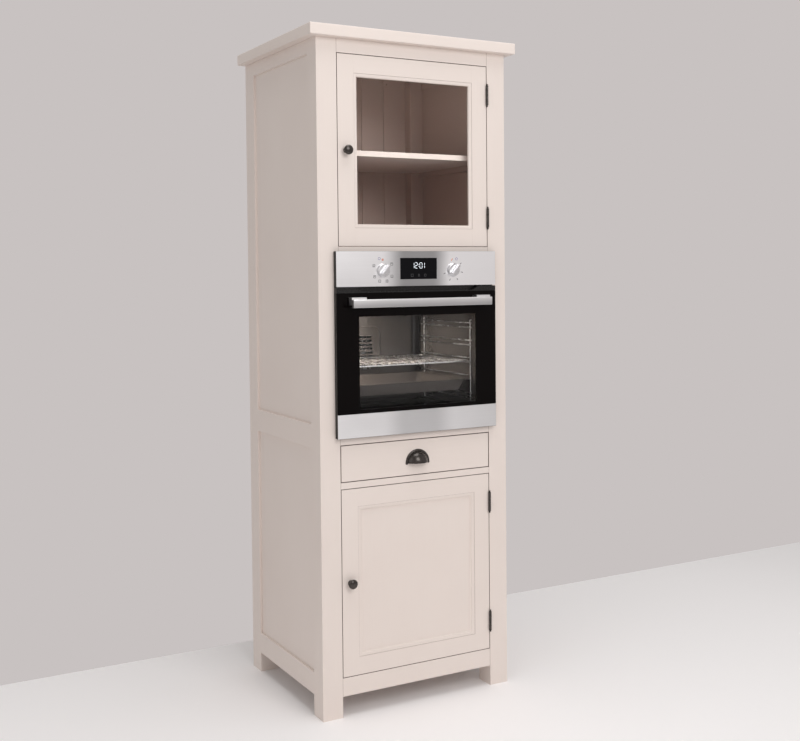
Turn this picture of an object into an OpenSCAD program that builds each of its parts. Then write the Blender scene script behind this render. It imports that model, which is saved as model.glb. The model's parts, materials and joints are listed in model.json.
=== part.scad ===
// Tall oven housing: a painted timber kitchen cabinet on four posts, with a glazed cupboard on top,
// a built-in electric oven, a drawer and a lower cupboard. All sizes are in millimetres.
// The front faces -Y, +X is to the right of someone who faces it, and +Z is up.
// The origin lies on the floor, under the middle of the whole object's box.

/* [Cabinet body] */
// Width over the posts
body_w = 700; // [660:1:800]
// Depth from the posts' front faces to the back
body_d = 610; // [580:1:700]
// Width of each post's face
post_w = 70; // [50:1:90]
// Depth of the front posts
front_post_d = 70; // [45:1:100]
// Depth of the rear posts
rear_post_d = 76; // [45:1:100]
// Thickness of the top slab
slab_h = 36; // [20:1:50]
// How far the slab reaches past each side
slab_side = 30; // [5:1:50]
// How far the slab reaches past the front
slab_front = 27; // [5:1:45]
// Thickness of every rail, front to back or side to side
rail_t = 22; // [19:1:28]
// Clear height under the bottom rails
foot_h = 68; // [40:1:120]
// Height of the bottom front rail
bottom_rail_h = 60; // [40:1:90]
// Height of the lower door's opening
lower_opening_h = 608; // [400:1:760]
// Height of the rail between the lower door and the drawer
drawer_rail_h = 21; // [18:1:40]
// Height of the drawer's opening
drawer_opening_h = 120; // [110:1:180]
// Height of the rail under the oven
oven_rail_h = 26; // [22:1:60]
// Height of the oven's niche
niche_h = 588; // [580:1:620]
// Height of the rail between the oven and the glazed cupboard
cupboard_rail_h = 18; // [18:1:60]
// Height of the glazed door's opening
upper_opening_h = 610; // [450:1:800]
// Height of the rail under the slab
top_rail_h = 45; // [30:1:90]

/* [Sides and back] */
// Height of the side's bottom rail
side_bottom_rail_h = 72; // [50:1:90]
// Height of the side's middle rail
side_middle_rail_h = 78; // [60:1:100]
// How far the side's middle rail rises above the niche's floor
side_rail_rise = 40; // [10:1:60]
// Thickness of the side panels
panel_t = 9; // [6:1:10]
// How far the side panels lie back from the frame's face
panel_recess = 8; // [4:1:9]
// Depth of the grooves that hold the panels
groove_d = 8; // [4:1:12]
// Room left at the bottom of each groove
groove_play = 0.3; // [0.1:0.1:2]
// Thickness of the boarded back
back_t = 12; // [8:1:16]
// Number of boards across the back
back_boards = 6; // [4:1:9]
// Width of the groove between two back boards
back_groove_w = 3; // [1:0.5:6]
// Depth of the groove between two back boards
back_groove_d = 3; // [1:0.5:5]
// Height of the rails across the back
rear_rail_h = 60; // [40:1:90]
// Radius of the two wall-fixing holes in the top rear rail
wall_hole_r = 3; // [2:0.5:5]
// Distance between the two wall-fixing holes
wall_hole_pitch = 400; // [200:1:480]

/* [Boards and shelf] */
// Thickness of the fixed boards
board_t = 18; // [15:1:18]
// Room between a board and the side it lies against
board_play = 0.5; // [0.3:0.1:2]
// Width and height of the bearers under the boards
bearer = 20; // [12:1:24]
// Height of the shelf's top above the glazed cupboard's floor
shelf_z = 311; // [200:1:400]
// Thickness of the shelf
shelf_t = 18; // [12:1:25]
// How far the shelf's front edge lies behind the posts' faces
shelf_setback = 45; // [40:1:120]

/* [Doors] */
// Thickness of the two timber doors
door_t = 22; // [19:1:26]
// Gap round the doors and the drawer's front
door_gap = 2; // [1.6:0.1:3]
// Width of the doors' stiles and rails
stile_w = 58; // [50:1:80]
// Thickness of the glass
glass_t = 4; // [3:0.5:5]
// How far the glass lies behind the door's face
glass_recess = 8; // [6:0.5:10]
// Room round the glass
glass_play = 1; // [0.5:0.1:2]
// Width of the moulding in front of the glass
glass_moulding_w = 12; // [9:1:20]
// Width of the retaining strips behind the glass
retainer_w = 9; // [6:1:14]
// Thickness of the lower door's panel
door_panel_t = 9; // [6:1:10]
// How far the lower door's panel lies behind the door's face
door_panel_recess = 8; // [6:0.5:10]
// Width of the moulding round the lower door's panel
panel_moulding_w = 16; // [14:1:24]
// Depth of the quirk between the door's face and the mouldings
quirk = 0.8; // [0.4:0.1:2]

/* [Hinges and catches] */
// Length of the hinge leaves
leaf_h = 64; // [50:1:90]
// Depth of the hinge leaves
leaf_d = 18; // [12:1:20]
// Thickness of the hinge leaves
leaf_t = 1.4; // [1.2:0.1:1.6]
// How far the leaves are let into the timber
leaf_sink = 0.6; // [0.5:0.1:0.9]
// Number of knuckles on each hinge
knuckles = 5; // [3:2:7]
// Outer radius of the knuckles
knuckle_r = 4.5; // [4:0.1:6]
// Radius of the hinge pins
pin_r = 2.5; // [1.5:0.1:3]
// Gap between the knuckles and what they pass
knuckle_gap = 0.4; // [0.3:0.1:1]
// Height of the turned finial at each end of a pin
finial_h = 7; // [5:0.5:12]
// Distance of each hinge's middle from the door's top or bottom edge
hinge_inset = 96; // [60:1:140]
// Radial clearance of every pin and shaft in its bore
run_gap = 0.05; // [0.02:0.01:0.09]
// Width of the magnetic catches
catch_w = 40; // [20:1:60]
// Distance of the catches from the opening's left side
catch_inset = 50; // [20:1:150]

/* [Handles] */
// Radius of the door knobs
knob_r = 15.5; // [11:0.5:20]
// How far the door knobs stand out
knob_reach = 27; // [20:1:40]
// Radius of the cup handle's rim
cup_r = 45; // [35:1:55]
// Width of the cup handle's rim
cup_rim_w = 9; // [6:1:12]
// How far the cup handle stands out
cup_reach = 27; // [20:1:32]
// Wall of the cup handle
cup_wall = 2.5; // [1.5:0.5:4]
// How far the cup handle's lower edge lies below the drawer front's middle
cup_drop = 19; // [0:1:30]

/* [Drawer] */
// Length of the drawer's box behind its front
drawer_len = 490; // [350:1:500]
// Height of the drawer's box
drawer_box_h = 92; // [70:1:95]
// Thickness of the drawer's sides
drawer_side_t = 15; // [12:1:18]
// Thickness of the drawer's bottom
drawer_bottom_t = 6; // [4:1:9]
// Depth of the groove that holds the drawer's bottom
drawer_groove_d = 7; // [4:1:9]
// Height of the drawer's bottom above the sides' lower edge
drawer_bottom_z = 10; // [6:1:16]
// Width that a runner takes on each side
runner_w = 12.5; // [12:0.5:16]
// Height of the runners
runner_h = 32; // [26:1:45]
// Thickness of the runners' steel
runner_t = 1.5; // [1:0.1:2]
// Gap between the two members of a runner
runner_gap = 0.5; // [0.3:0.1:1]

/* [Oven front] */
// How far the oven's front stands out from the posts' faces
oven_proud = 20; // [19:0.5:24]
// How far the oven's front laps over each side of the niche
lap_side = 17.5; // [12:0.5:22]
// How far the oven's front laps over the niche's top and bottom
lap_h = 3.5; // [2:0.5:6]
// Room beside the oven's casing in the niche
casing_play = 3; // [2:0.5:6]
// Height of the control panel
control_h = 113; // [96:1:130]
// Gap between the control panel and the door
control_gap = 3; // [2:0.5:5]
// Thickness of the control panel's sheet
fascia_t = 1.5; // [1:0.1:2]
// Thickness of the front frame's sheet
frame_sheet = 1.5; // [1:0.1:1.6]
// Width of the display
display_w = 137; // [100:1:160]
// Height of the display
display_h = 69; // [50:1:80]
// Distance of each control knob from the middle
control_x = 131; // [110:1:180]
// Radius of the control knobs
dial_r = 23; // [18:0.5:28]
// How far the control knobs stand out from the panel
dial_reach = 24; // [18:0.5:30]
// Thickness of the control knobs' round base
dial_base = 9; // [6:0.5:12]
// Width of the grip across a control knob
dial_grip_w = 10; // [7:0.5:14]
// Radius of the control knobs' shafts
dial_shaft_r = 3; // [2.5:0.1:4]
// Angle of the grips from upright, clockwise
dial_angle = 40; // [-80:1:80]
// Size of the switch body behind each control knob
switch_size = 40; // [30:1:50]
// Depth of the switch body
switch_d = 32; // [26:1:40]
// How deep the knob's shaft reaches into the switch
dial_depth = 20; // [12:1:22]
// How far the display's flange reaches under the panel
display_lip = 3; // [2:0.5:6]
// Thickness of the display behind the panel
display_t = 6; // [4:0.5:10]
// Radius of the screws that hold the oven to the posts
screw_r = 2; // [1.5:0.1:2.5]
// Radius of those screws' heads
screw_head_r = 3.6; // [3:0.1:4.5]
// Length of those screws
screw_len = 30; // [20:1:40]

/* [Oven door] */
// Thickness of the door's outer glass
pane_t = 4; // [3:0.5:5]
// Thickness of the door's inner glass
inner_pane_t = 4; // [3:0.5:5]
// Height of the steel strip at the door's foot
strip_h = 76; // [50:1:90]
// Height of the trim along the door's top
trim_h = 17; // [10:1:24]
// Depth of the air inlet's dip in the trim
trim_dip = 14; // [6:1:15]
// Width of the air inlet's dip at its bottom
dip_w = 412; // [300:1:450]
// Run of the slope at each end of the dip
dip_run = 24; // [10:1:40]
// Gap between the door's back and the front frame
door_back_gap = 1; // [0.8:0.1:2]
// Thickness of the door frame's sheet
door_sheet = 1.5; // [1:0.1:2]
// Width of the window in the door
window_w = 437; // [380:1:450]
// Height of the window in the door
window_h = 297; // [240:1:310]
// Height of the window's lower edge above the strip
window_rise = 13; // [5:1:25]
// Distance of the door's turning axis from its outer face
axis_in = 10; // [9:0.1:11]
// Height of the door's turning axis above its lower edge
axis_up = 8; // [7:0.1:8]
// Size of the bevel on the door's lower back edge
door_heel = 6; // [6:0.1:7]
// Radius of the door hinges' pins
door_pin_r = 2.5; // [2:0.1:3]
// Thickness of the hinge brackets' lugs
lug_t = 4; // [3:0.5:5]
// Thickness of each cheek of the door's hinge arms
arm_t = 5; // [3:0.5:6]
// Height of the door's hinge arms above the axis
arm_h = 56; // [30:1:70]
// Width of the hinge brackets behind the front frame
bracket_w = 13; // [8:0.5:13]
// Depth of the hinge brackets behind the front frame
bracket_d = 40; // [20:1:60]
// Length of the handle bar
handle_len = 515; // [400:1:560]
// Height of the handle bar
handle_h = 27; // [18:1:32]
// Thickness of the handle bar
handle_t = 13; // [9:0.5:16]
// How far the handle stands out from the door's glass
handle_reach = 42; // [34:1:55]
// Distance of the handle's middle below the door's top
handle_drop = 50; // [35:1:70]
// Width of the handle's two end mounts
mount_w = 52; // [20:1:70]

/* [Oven inside] */
// Width of the oven's cavity
cavity_w = 480; // [460:1:490]
// Height of the oven's cavity
cavity_h = 365; // [340:1:370]
// Depth of the oven's cavity behind its mouth
cavity_d = 412; // [360:1:430]
// Height of the cavity's floor above the niche's floor
cavity_rise = 52; // [48:1:60]
// Wall of the cavity's liner
liner_t = 2; // [1:0.1:2.5]
// Width of the seat round the cavity's mouth
seat_w = 20; // [16:1:21]
// How far the seat lies behind the posts' faces
seat_y = 18; // [17:0.5:24]
// Thickness of the door seal
seal_t = 4.7; // [3:0.1:5]
// Width of the door seal
seal_w = 10; // [6:1:12]
// Gap between the door seal and the door's inner glass
seal_gap = 0.3; // [0.2:0.1:1]
// Height of the oven's casing
casing_h = 577; // [560:1:580]
// Sheet of the casing
casing_t = 1.5; // [1:0.1:2]
// Air space between the casing and the cabinet's back
casing_back_gap = 60; // [40:1:90]
// Number of shelf levels
levels = 5; // [3:1:6]
// Distance between shelf levels
level_pitch = 60; // [45:1:62]
// Height of the lowest level above the cavity's floor
level_z = 40; // [30:1:60]
// Radius of the side racks' rods
rack_rod_r = 2.5; // [2:0.1:3]
// Distance of the racks' guide rods from the cavity's wall
rack_in = 9; // [8:0.5:12]
// Height between the two rods of a level
rack_slot = 16; // [14:0.5:20]
// Level of the wire shelf, counted from the bottom
grid_level = 3; // [3:1:4]
// Radius of the wire shelf's outer rod
grid_rod_r = 3; // [2.5:0.1:3.5]
// Radius of the wire shelf's thin bars
grid_bar_r = 1.6; // [1.2:0.1:2.2]
// Number of thin bars on the wire shelf
grid_bars = 15; // [9:1:21]
// Level of the baking tray, counted from the bottom
tray_level = 2; // [2:1:2]
// Depth of the baking tray
tray_h = 38; // [20:1:45]
// Thickness of the baking tray
tray_t = 2; // [1:0.1:3]
// Distance of the shelf's and the tray's front edges behind the seal's seat
load_setback = 22; // [16:1:40]
// Gap between a shelf or tray and what it slides on
slide_gap = 0.3; // [0.2:0.1:1]
// Depth of the fan cover
fan_cover_d = 45; // [36:1:60]
// Width of the fan cover
fan_cover_w = 390; // [300:1:420]
// Height of the fan cover
fan_cover_h = 315; // [260:1:335]
// Sheet of the fan cover
fan_cover_t = 2; // [1:0.1:3]
// Radius of the fan
fan_r = 72; // [50:1:80]
// Number of the fan's blades
fan_blades = 16; // [8:1:24]
// Depth of the fan
fan_d = 20; // [12:1:26]
// Radius of the fan's shaft
fan_shaft_r = 4; // [3:0.1:5]
// Radius of the fan's hub
fan_hub_r = 12; // [8:0.5:16]
// Sheet of the fan's disc and blades
fan_sheet = 1.5; // [1:0.1:2]
// Radius of the fan's motor
motor_r = 36; // [25:1:45]
// Length of the fan's motor
motor_len = 45; // [34:1:60]
// Width of the strap that holds the motor
strap_w = 112; // [94:1:140]
// Height of that strap
strap_h = 40; // [20:1:50]
// Gap between the fan and the heating ring round it
ring_gap = 15; // [10:0.5:25]
// Distance of the heating ring from the cavity's back
ring_back = 22; // [12:1:28]
// Radius of the heating rods
element_r = 3.25; // [2.5:0.05:4]
// Number of runs in the grill element
grill_runs = 6; // [4:2:8]
// Distance between the runs of the grill element
grill_pitch = 44; // [30:1:48]
// Distance of the grill element below the cavity's ceiling
grill_drop = 16; // [12:1:20]
// Radius of the oven lamp
lamp_r = 24; // [18:1:28]

/* [Hidden] */
$fn = 48;

// How far the foremost piece, the oven's handle, stands in front of the posts' faces
reach = oven_proud + handle_reach;
// The modules count depth from the posts' faces; this puts the whole box's middle on the origin
front_y = (reach - body_d) / 2;

// Widths, as distances from the middle
half_w = body_w / 2;
open_x = half_w - post_w;
rail_in_x = half_w - rail_t;
panel_out_x = half_w - panel_recess;
panel_in_x = panel_out_x - panel_t;

// Depths
side_y0 = front_post_d;
side_y1 = body_d - rear_post_d;
rear_rail_y = body_d - rail_t;
back_y = rear_rail_y - back_t;

// Heights, from the floor up
lower_z = foot_h + bottom_rail_h;
lower_top = lower_z + lower_opening_h;
drawer_z = lower_top + drawer_rail_h;
drawer_top = drawer_z + drawer_opening_h;
niche_z = drawer_top + oven_rail_h;
niche_top = niche_z + niche_h;
upper_z = niche_top + cupboard_rail_h;
upper_top = upper_z + upper_opening_h;
post_h = upper_top + top_rail_h;
total_h = post_h + slab_h;
side_low_top = foot_h + side_bottom_rail_h;
side_mid_top = niche_z + side_rail_rise;
side_mid_z = side_mid_top - side_middle_rail_h;
shelf_top = upper_z + shelf_z;
// From the lowest to the highest edge of each side panel, grooves included
lower_panel = [side_low_top - groove_d, side_mid_z + groove_d];
upper_panel = [side_mid_top - groove_d, upper_top + groove_d];

// Doors and drawer
edge_x = open_x - door_gap;
// From the lower to the upper edge of each door, and its opening for the glass or the panel
upper_frame = [upper_z + door_gap, upper_top - door_gap];
lower_frame = [lower_z + door_gap, lower_top - door_gap];
light_w = 2 * (edge_x - stile_w);
upper_light_h = upper_frame[1] - upper_frame[0] - 2 * stile_w;
lower_light_h = lower_frame[1] - lower_frame[0] - 2 * stile_w;
glass_y = glass_recess;
retainer_y = glass_y + glass_t;
retainer_play = 1;
hinge_x = open_x - door_gap / 2;
hinge_y = -knuckle_r - knuckle_gap;
knuckle_h = leaf_h / knuckles;
knuckle_space = 0.15;
upper_hinges = [upper_z + door_gap + hinge_inset, upper_top - door_gap - hinge_inset];
lower_hinges = [lower_z + door_gap + hinge_inset, lower_top - door_gap - hinge_inset];
door_knob_x = -edge_x + stile_w / 2;
upper_knob_z = (upper_z + upper_top) / 2;
lower_knob_z = (lower_z + lower_top) / 2;
catch_d = 12;
catch_gap = 0.3;

// Drawer
drawer_lift = 8;
box_z = drawer_z + drawer_lift;
box_x = open_x - runner_w;
box_y1 = door_t + drawer_len;
bottom_z = box_z + drawer_bottom_z;
runner_z = box_z + (drawer_box_h - runner_h) / 4;
runner_y0 = door_t + 2;
runner_reach = runner_w - runner_t - runner_gap;
front_roller_r = runner_h / 4;
rear_roller_r = runner_h / 2 - runner_t - runner_gap;
roller_y = 16;
roller_in = 3;
bearer_lip = 4;

// Oven front
oven_x = open_x + lap_side;
oven_z = niche_z - lap_h;
oven_top = niche_top + lap_h;
oven_y = -oven_proud;
panel_z = oven_top - control_h;
frame_margin = 1;
display_z = (panel_z + oven_top) / 2;
dial_z = display_z - 5;
dial_gap = 0.4;
dial_hole_r = dial_shaft_r + 3;
screw_x = open_x + lap_side / 2;
screw_play = 0.1;
screw_low = 120;
screw_high = 160;
screw_heights = [niche_z + screw_low, niche_top - screw_high];
display_play = 0.3;

// Oven door
door_z = oven_z + 0.5;
door_top = panel_z - control_gap;
trim_z = door_top - trim_h;
strip_top = door_z + strip_h;
pane_gap = 0.5;
pane_back = oven_y + pane_t;
door_back = -frame_sheet - door_back_gap;
window_z = strip_top + window_rise;
axis_y = oven_y + axis_in;
axis_z = door_z + axis_up;
lug_gap = 0.5;
lug_r = 4.2;
lug_neck = 3;
lug_in = 26.5;
lug_x = oven_x - lug_in;
arm_back = 4.5;
arm_y1 = axis_y + arm_back;
arm_foot = 4;
handle_z = door_top - handle_drop;

// Oven inside
seat_back = seat_y + frame_sheet;
cav_x = cavity_w / 2;
cav_z = niche_z + cavity_rise;
cav_top = cav_z + cavity_h;
cav_back = seat_back + cavity_d;
mouth_x = cav_x + seat_w;
mouth_z = cav_z - seat_w;
mouth_top = cav_top + seat_w;
inner_pane_y = seat_y - seal_t - seal_gap - inner_pane_t;
pane_play = 2.5;
casing_x = open_x - casing_play;
casing_top = niche_z + casing_h;
casing_back = body_d - casing_back_gap;
fan_z = cav_z + cavity_h / 2;
fan_cover_y = cav_back - fan_cover_d;
fan_back_gap = 12;
fan_y = cav_back - fan_back_gap;
shaft_in_motor = 24;
shaft_end = cav_back + liner_t + shaft_in_motor;
rack_x = cav_x - rack_in;
rack_front_gap = 12;
rack_back_gap = 8;
rack_y0 = seat_back + rack_front_gap;
rack_y1 = fan_cover_y - rack_back_gap;
load_back_gap = 10;
load_y0 = seat_back + load_setback;
load_y1 = fan_cover_y - load_back_gap;
grid_z = level_height(grid_level) + rack_rod_r + grid_rod_r + slide_gap;
grid_x = rack_x - rack_rod_r;
tray_z = level_height(tray_level) + rack_rod_r + slide_gap;
grill_z = cav_top - grill_drop;

// Height of a level's lower guide rod, counted from 1 at the bottom
function level_height(n) = cav_z + level_z + (n - 1) * level_pitch;

// Colours
cream = [0.90, 0.86, 0.81];
pine = [0.80, 0.66, 0.46];
iron = [0.10, 0.09, 0.08];
glass = [0.75, 0.82, 0.82, 0.4];
steel = [0.72, 0.72, 0.72];
chrome = [0.85, 0.85, 0.86];
black = [0.05, 0.05, 0.05];
enamel = [0.16, 0.16, 0.17];
zinc = [0.62, 0.63, 0.64];
lamp_white = [0.95, 0.93, 0.85];

// ---- Shared shapes -------------------------------------------------------------------------------

// Moves a piece from the posts' faces to its place over the origin
module in_place() {
  translate([0, front_y, 0]) children();
}

// A box between its lowest and its highest corner
module block(a, b) {
  translate(a) cube(b - a);
}

// A box across the oven, from -x to x
module across(x, y0, y1, z0, z1) {
  block([-x, y0, z0], [x, y1, z1]);
}

// A piece and its mirror image on the other side
module both_sides() {
  children();
  mirror([1, 0, 0]) children();
}

// Round bars along each axis
module rod_x(x0, x1, y, z, r) {
  translate([x0, y, z]) rotate([0, 90, 0]) cylinder(h = x1 - x0, r = r);
}
module rod_y(x, y0, y1, z, r) {
  translate([x, y0, z]) rotate([-90, 0, 0]) cylinder(h = y1 - y0, r = r);
}
module rod_z(x, y, z0, z1, r) {
  translate([x, y, z0]) cylinder(h = z1 - z0, r = r);
}

// A rectangle with round corners, centred
module rounded(w, h, r) {
  square([w - 2 * r, h], center = true);
  square([w, h - 2 * r], center = true);
  for (x = [-1, 1], y = [-1, 1])
    translate([x * (w / 2 - r), y * (h / 2 - r)]) circle(r);
}

// Stands a flat outline up, facing the front, from y0 back to y1
module upright(y0, y1) {
  translate([0, y1, 0]) rotate([90, 0, 0]) linear_extrude(y1 - y0) children();
}

// A ring of four mitred strips inside an opening of w by h, centred on (0, 0) in X and Z.
// The profile's x is the distance in from the opening's edge, and its y is the depth.
module mitred_ring(w, h, band) {
  for (side = [[w, h, 0], [h, w, 90], [w, h, 180], [h, w, 270]])
    rotate([0, side[2], 0]) mitred_strip(side[0], side[1] / 2, band) children();
}
module mitred_strip(len, far, band) {
  intersection() {
    translate([-len / 2, 0, far]) rotate([0, 90, 0]) linear_extrude(len) children();
    upright(-door_t, 2 * door_t)
      polygon([[-len / 2, far], [len / 2, far], [len / 2 - band, far - band], [band - len / 2, far - band]]);
  }
}

// ---- Cabinet -------------------------------------------------------------------------------------

module top_slab() {
  color(cream) in_place()
    block([-half_w - slab_side, -slab_front, post_h], [half_w + slab_side, body_d, total_h]);
}

// Grooves for a side's two panels, cut into posts and rails
module panel_grooves() {
  for (range = [lower_panel, upper_panel])
    block([panel_in_x, side_y0 - groove_d, range[0]], [panel_out_x, side_y1 + groove_d, range[1]]);
}

module front_post() {
  difference() {
    block([open_x, 0, 0], [half_w, front_post_d, post_h]);
    panel_grooves();
    for (z = screw_heights) rod_y(screw_x, -1, screw_len + 1, z, screw_r + screw_play);
  }
}

module front_posts() {
  color(cream) in_place() {
    difference() {
      front_post();
      for (z = concat(lower_hinges, upper_hinges)) leaf_seat(z, open_x, open_x + leaf_sink);
    }
    mirror([1, 0, 0]) front_post();
  }
}

module rear_posts() {
  color(cream) in_place() both_sides() difference() {
    block([open_x, side_y1, 0], [half_w, body_d, post_h]);
    panel_grooves();
  }
}

module top_rail() {
  color(cream) in_place() block([-open_x, 0, upper_top], [open_x, rail_t, post_h]);
}

// The rails over the oven, under it and under the drawer
module middle_rails() {
  color(cream) in_place()
    for (range = [[niche_top, upper_z], [drawer_top, niche_z], [lower_top, drawer_z]])
      block([-open_x, 0, range[0]], [open_x, rail_t, range[1]]);
}

module bottom_rail() {
  color(cream) in_place() block([-open_x, 0, foot_h], [open_x, rail_t, lower_z]);
}

module side_rails() {
  color(cream) in_place() both_sides() difference() {
    for (range = [[foot_h, side_low_top], [side_mid_z, side_mid_top], [upper_top, post_h]])
      block([rail_in_x, side_y0, range[0]], [half_w, side_y1, range[1]]);
    panel_grooves();
  }
}

module side_panels() {
  side_grow = groove_d - groove_play;
  color(cream) in_place() both_sides()
    for (range = [lower_panel, upper_panel])
      block([panel_in_x, side_y0 - side_grow, range[0] + groove_play],
            [panel_out_x, side_y1 + side_grow, range[1] - groove_play]);
}

// Holes for the screws that tie the top rail to a wall
module wall_holes() {
  for (x = [-1, 1])
    rod_y(x * wall_hole_pitch / 2, back_y - 1, body_d + 1, post_h - rear_rail_h / 2, wall_hole_r);
}

module rear_rails() {
  ranges = [[foot_h, side_low_top], [niche_z - rear_rail_h, niche_z],
            [niche_top, niche_top + rear_rail_h], [post_h - rear_rail_h, post_h]];
  color(cream) in_place() difference() {
    for (range = ranges) block([-open_x, rear_rail_y, range[0]], [open_x, body_d, range[1]]);
    wall_holes();
  }
}

// Boarded backs of the two cupboards; the oven's niche between them stays open for its air
module back_panels() {
  board_w = 2 * open_x / back_boards;
  color(cream) in_place() difference() {
    for (range = [[lower_z, niche_z - board_t], [upper_z, post_h]])
      block([-open_x, back_y, range[0]], [open_x, rear_rail_y, range[1]]);
    for (i = [1 : back_boards - 1])
      translate([i * board_w - open_x, back_y, lower_z - 1]) linear_extrude(total_h)
        polygon([[-back_groove_w / 2, -1], [back_groove_w / 2, -1], [back_groove_w / 2, 0],
                 [0, back_groove_d], [-back_groove_w / 2, 0]]);
    wall_holes();
  }
}

// A board that reaches out between the posts as far as side_x
module notched_board(side_x, y0, y1, top, t) {
  block([board_play - open_x, y0, top - t], [open_x - board_play, y1, top]);
  block([-side_x, side_y0 + board_play, top - t], [side_x, side_y1 - board_play, top]);
}

// The boards that the oven stands on and that close its niche
module niche_boards() {
  color(cream) in_place() {
    notched_board(rail_in_x - board_play, rail_t, rear_rail_y, niche_z, board_t);
    notched_board(panel_in_x - board_play, rail_t, rear_rail_y, upper_z, board_t);
  }
}

module bottom_board() {
  color(cream) in_place()
    notched_board(rail_in_x - board_play, rail_t, rear_rail_y, lower_z, board_t);
}

module display_shelf() {
  color(cream) in_place()
    notched_board(panel_in_x - board_play, shelf_setback, back_y - board_play, shelf_top, shelf_t);
}

// Bearers on the inside of both sides: one under each board, and one that carries each drawer runner
module side_bearers() {
  under = [[rail_in_x, lower_z - board_t], [rail_in_x, niche_z - board_t],
           [panel_in_x, upper_z - board_t], [panel_in_x, shelf_top - shelf_t]];
  color(pine) in_place() both_sides() {
    for (b = under) block([b[0] - bearer, side_y0, b[1] - bearer], [b[0], side_y1, b[1]]);
    block([open_x, side_y0, runner_z - bearer_lip],
          [panel_in_x, side_y1, runner_z + runner_h + bearer_lip]);
  }
}

// ---- Timber doors --------------------------------------------------------------------------------

// Room for a hinge leaf in an edge, from x0 to x1
module leaf_seat(z, x0, x1) {
  block([x0 - 0.01, -1, z - leaf_h / 2], [x1, leaf_d, z + leaf_h / 2]);
}

// A door's frame of stiles and rails, with its hinge leaves' seats in the right edge
module door_frame(z0, z1, hinges) {
  difference() {
    block([-edge_x, 0, z0], [edge_x, door_t, z1]);
    block([stile_w - edge_x, -1, z0 + stile_w], [edge_x - stile_w, door_t + 1, z1 - stile_w]);
    for (z = hinges)
      block([edge_x - leaf_sink, -1, z - leaf_h / 2], [edge_x + 1, leaf_d, z + leaf_h / 2]);
  }
}

module upper_door_frame() {
  color(cream) in_place() door_frame(upper_frame[0], upper_frame[1], upper_hinges);
}

// A quarter-round moulding that falls from the frame's face to the glass
module upper_door_moulding() {
  step = 1;
  d = glass_recess - quirk;
  r = d - step;
  color(cream) in_place() translate([0, 0, upper_knob_z])
    mitred_ring(light_w, upper_light_h, glass_moulding_w) translate([0, quirk]) {
      square([glass_moulding_w - r, d]);
      translate([0, r]) square([glass_moulding_w, d - r]);
      intersection() {
        translate([glass_moulding_w - r, r]) circle(r);
        square([glass_moulding_w, d]);
      }
    }
}

module upper_door_glass() {
  w = light_w / 2 - glass_play;
  h = upper_light_h / 2 - glass_play;
  color(glass) in_place()
    block([-w, glass_y, upper_knob_z - h], [w, glass_y + glass_t, upper_knob_z + h]);
}

// Strips pinned in behind the glass
module glass_retainer() {
  depth = door_t - retainer_y - retainer_play;
  color(cream) in_place() translate([0, 0, upper_knob_z])
    mitred_ring(light_w, upper_light_h, retainer_w) polygon([[0, retainer_y],
      [retainer_w, retainer_y], [retainer_w, retainer_y + depth / 2],
      [retainer_w / 2, retainer_y + depth], [0, retainer_y + depth]]);
}

module lower_door_frame() {
  groove = door_panel_recess;
  color(cream) in_place() difference() {
    door_frame(lower_frame[0], lower_frame[1], lower_hinges);
    block([stile_w - groove - edge_x, door_panel_recess, lower_frame[0] + stile_w - groove],
          [edge_x - stile_w + groove, door_panel_recess + door_panel_t, lower_frame[1] - stile_w + groove]);
  }
}

// A moulding of a round and a hollow that falls from the frame's face to the panel
module lower_door_moulding() {
  lip = 1;
  d = door_panel_recess - quirk;
  hollow_r = d - 1.5 * lip;
  round_r = d / 2;
  step = panel_moulding_w - hollow_r - 2 * lip;
  color(cream) in_place() translate([0, 0, lower_knob_z])
    mitred_ring(light_w, lower_light_h, panel_moulding_w) translate([0, quirk]) {
      square([step - round_r, d]);
      translate([0, round_r]) square([step, d - round_r]);
      translate([step - round_r, round_r]) circle(round_r);
      difference() {
        translate([lip, d - hollow_r]) square([panel_moulding_w - lip, hollow_r]);
        translate([panel_moulding_w, d - hollow_r - lip]) circle(hollow_r);
      }
    }
}

module lower_door_panel() {
  grow = door_panel_recess - groove_play;
  color(cream) in_place()
    block([stile_w - grow - edge_x, door_panel_recess, lower_frame[0] + stile_w - grow],
          [edge_x - stile_w + grow, door_panel_recess + door_panel_t, lower_frame[1] - stile_w + grow]);
}

// A turned knob: foot, neck, and a head with a rounded rim round a low dome
module turned_knob(z) {
  rim_r = knob_r * 0.26;
  foot_r = knob_r * 0.62;
  foot_t = 2.5;
  neck_r = knob_r * 0.36;
  color(iron) in_place() translate([door_knob_x, 0, z]) rotate([90, 0, 0]) rotate_extrude() {
    square([foot_r, foot_t]);
    square([neck_r, knob_reach - rim_r]);
    translate([0, knob_reach - 2.6 * rim_r]) square([knob_r - rim_r, 1.6 * rim_r]);
    translate([knob_r - rim_r, knob_reach - 1.8 * rim_r]) circle(rim_r);
    intersection() {
      translate([0, knob_reach - knob_r]) circle(knob_r);
      square([foot_r, knob_reach]);
    }
  }
}

module upper_door_knob() {
  turned_knob(upper_knob_z);
}
module lower_door_knob() {
  turned_knob(lower_knob_z);
}

// ---- Butt hinges with turned finials -------------------------------------------------------------

// A leaf and its share of the knuckles; the first of them is number first, counted from the bottom
module hinge_leaf(z, x0, x1, first) {
  foot = z - leaf_h / 2;
  difference() {
    union() {
      block([x0, knuckle_gap, foot], [x1, leaf_d, foot + leaf_h]);
      for (i = [first : 2 : knuckles - 1]) {
        z0 = foot + i * knuckle_h + knuckle_space;
        z1 = foot + (i + 1) * knuckle_h - knuckle_space;
        rod_z(hinge_x, hinge_y, z0, z1, knuckle_r);
        block([x0, hinge_y, z0], [x1, knuckle_gap + 1, z1]);
      }
    }
    rod_z(hinge_x, hinge_y, foot - 1, foot + leaf_h + 1, pin_r + run_gap);
  }
}

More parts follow.
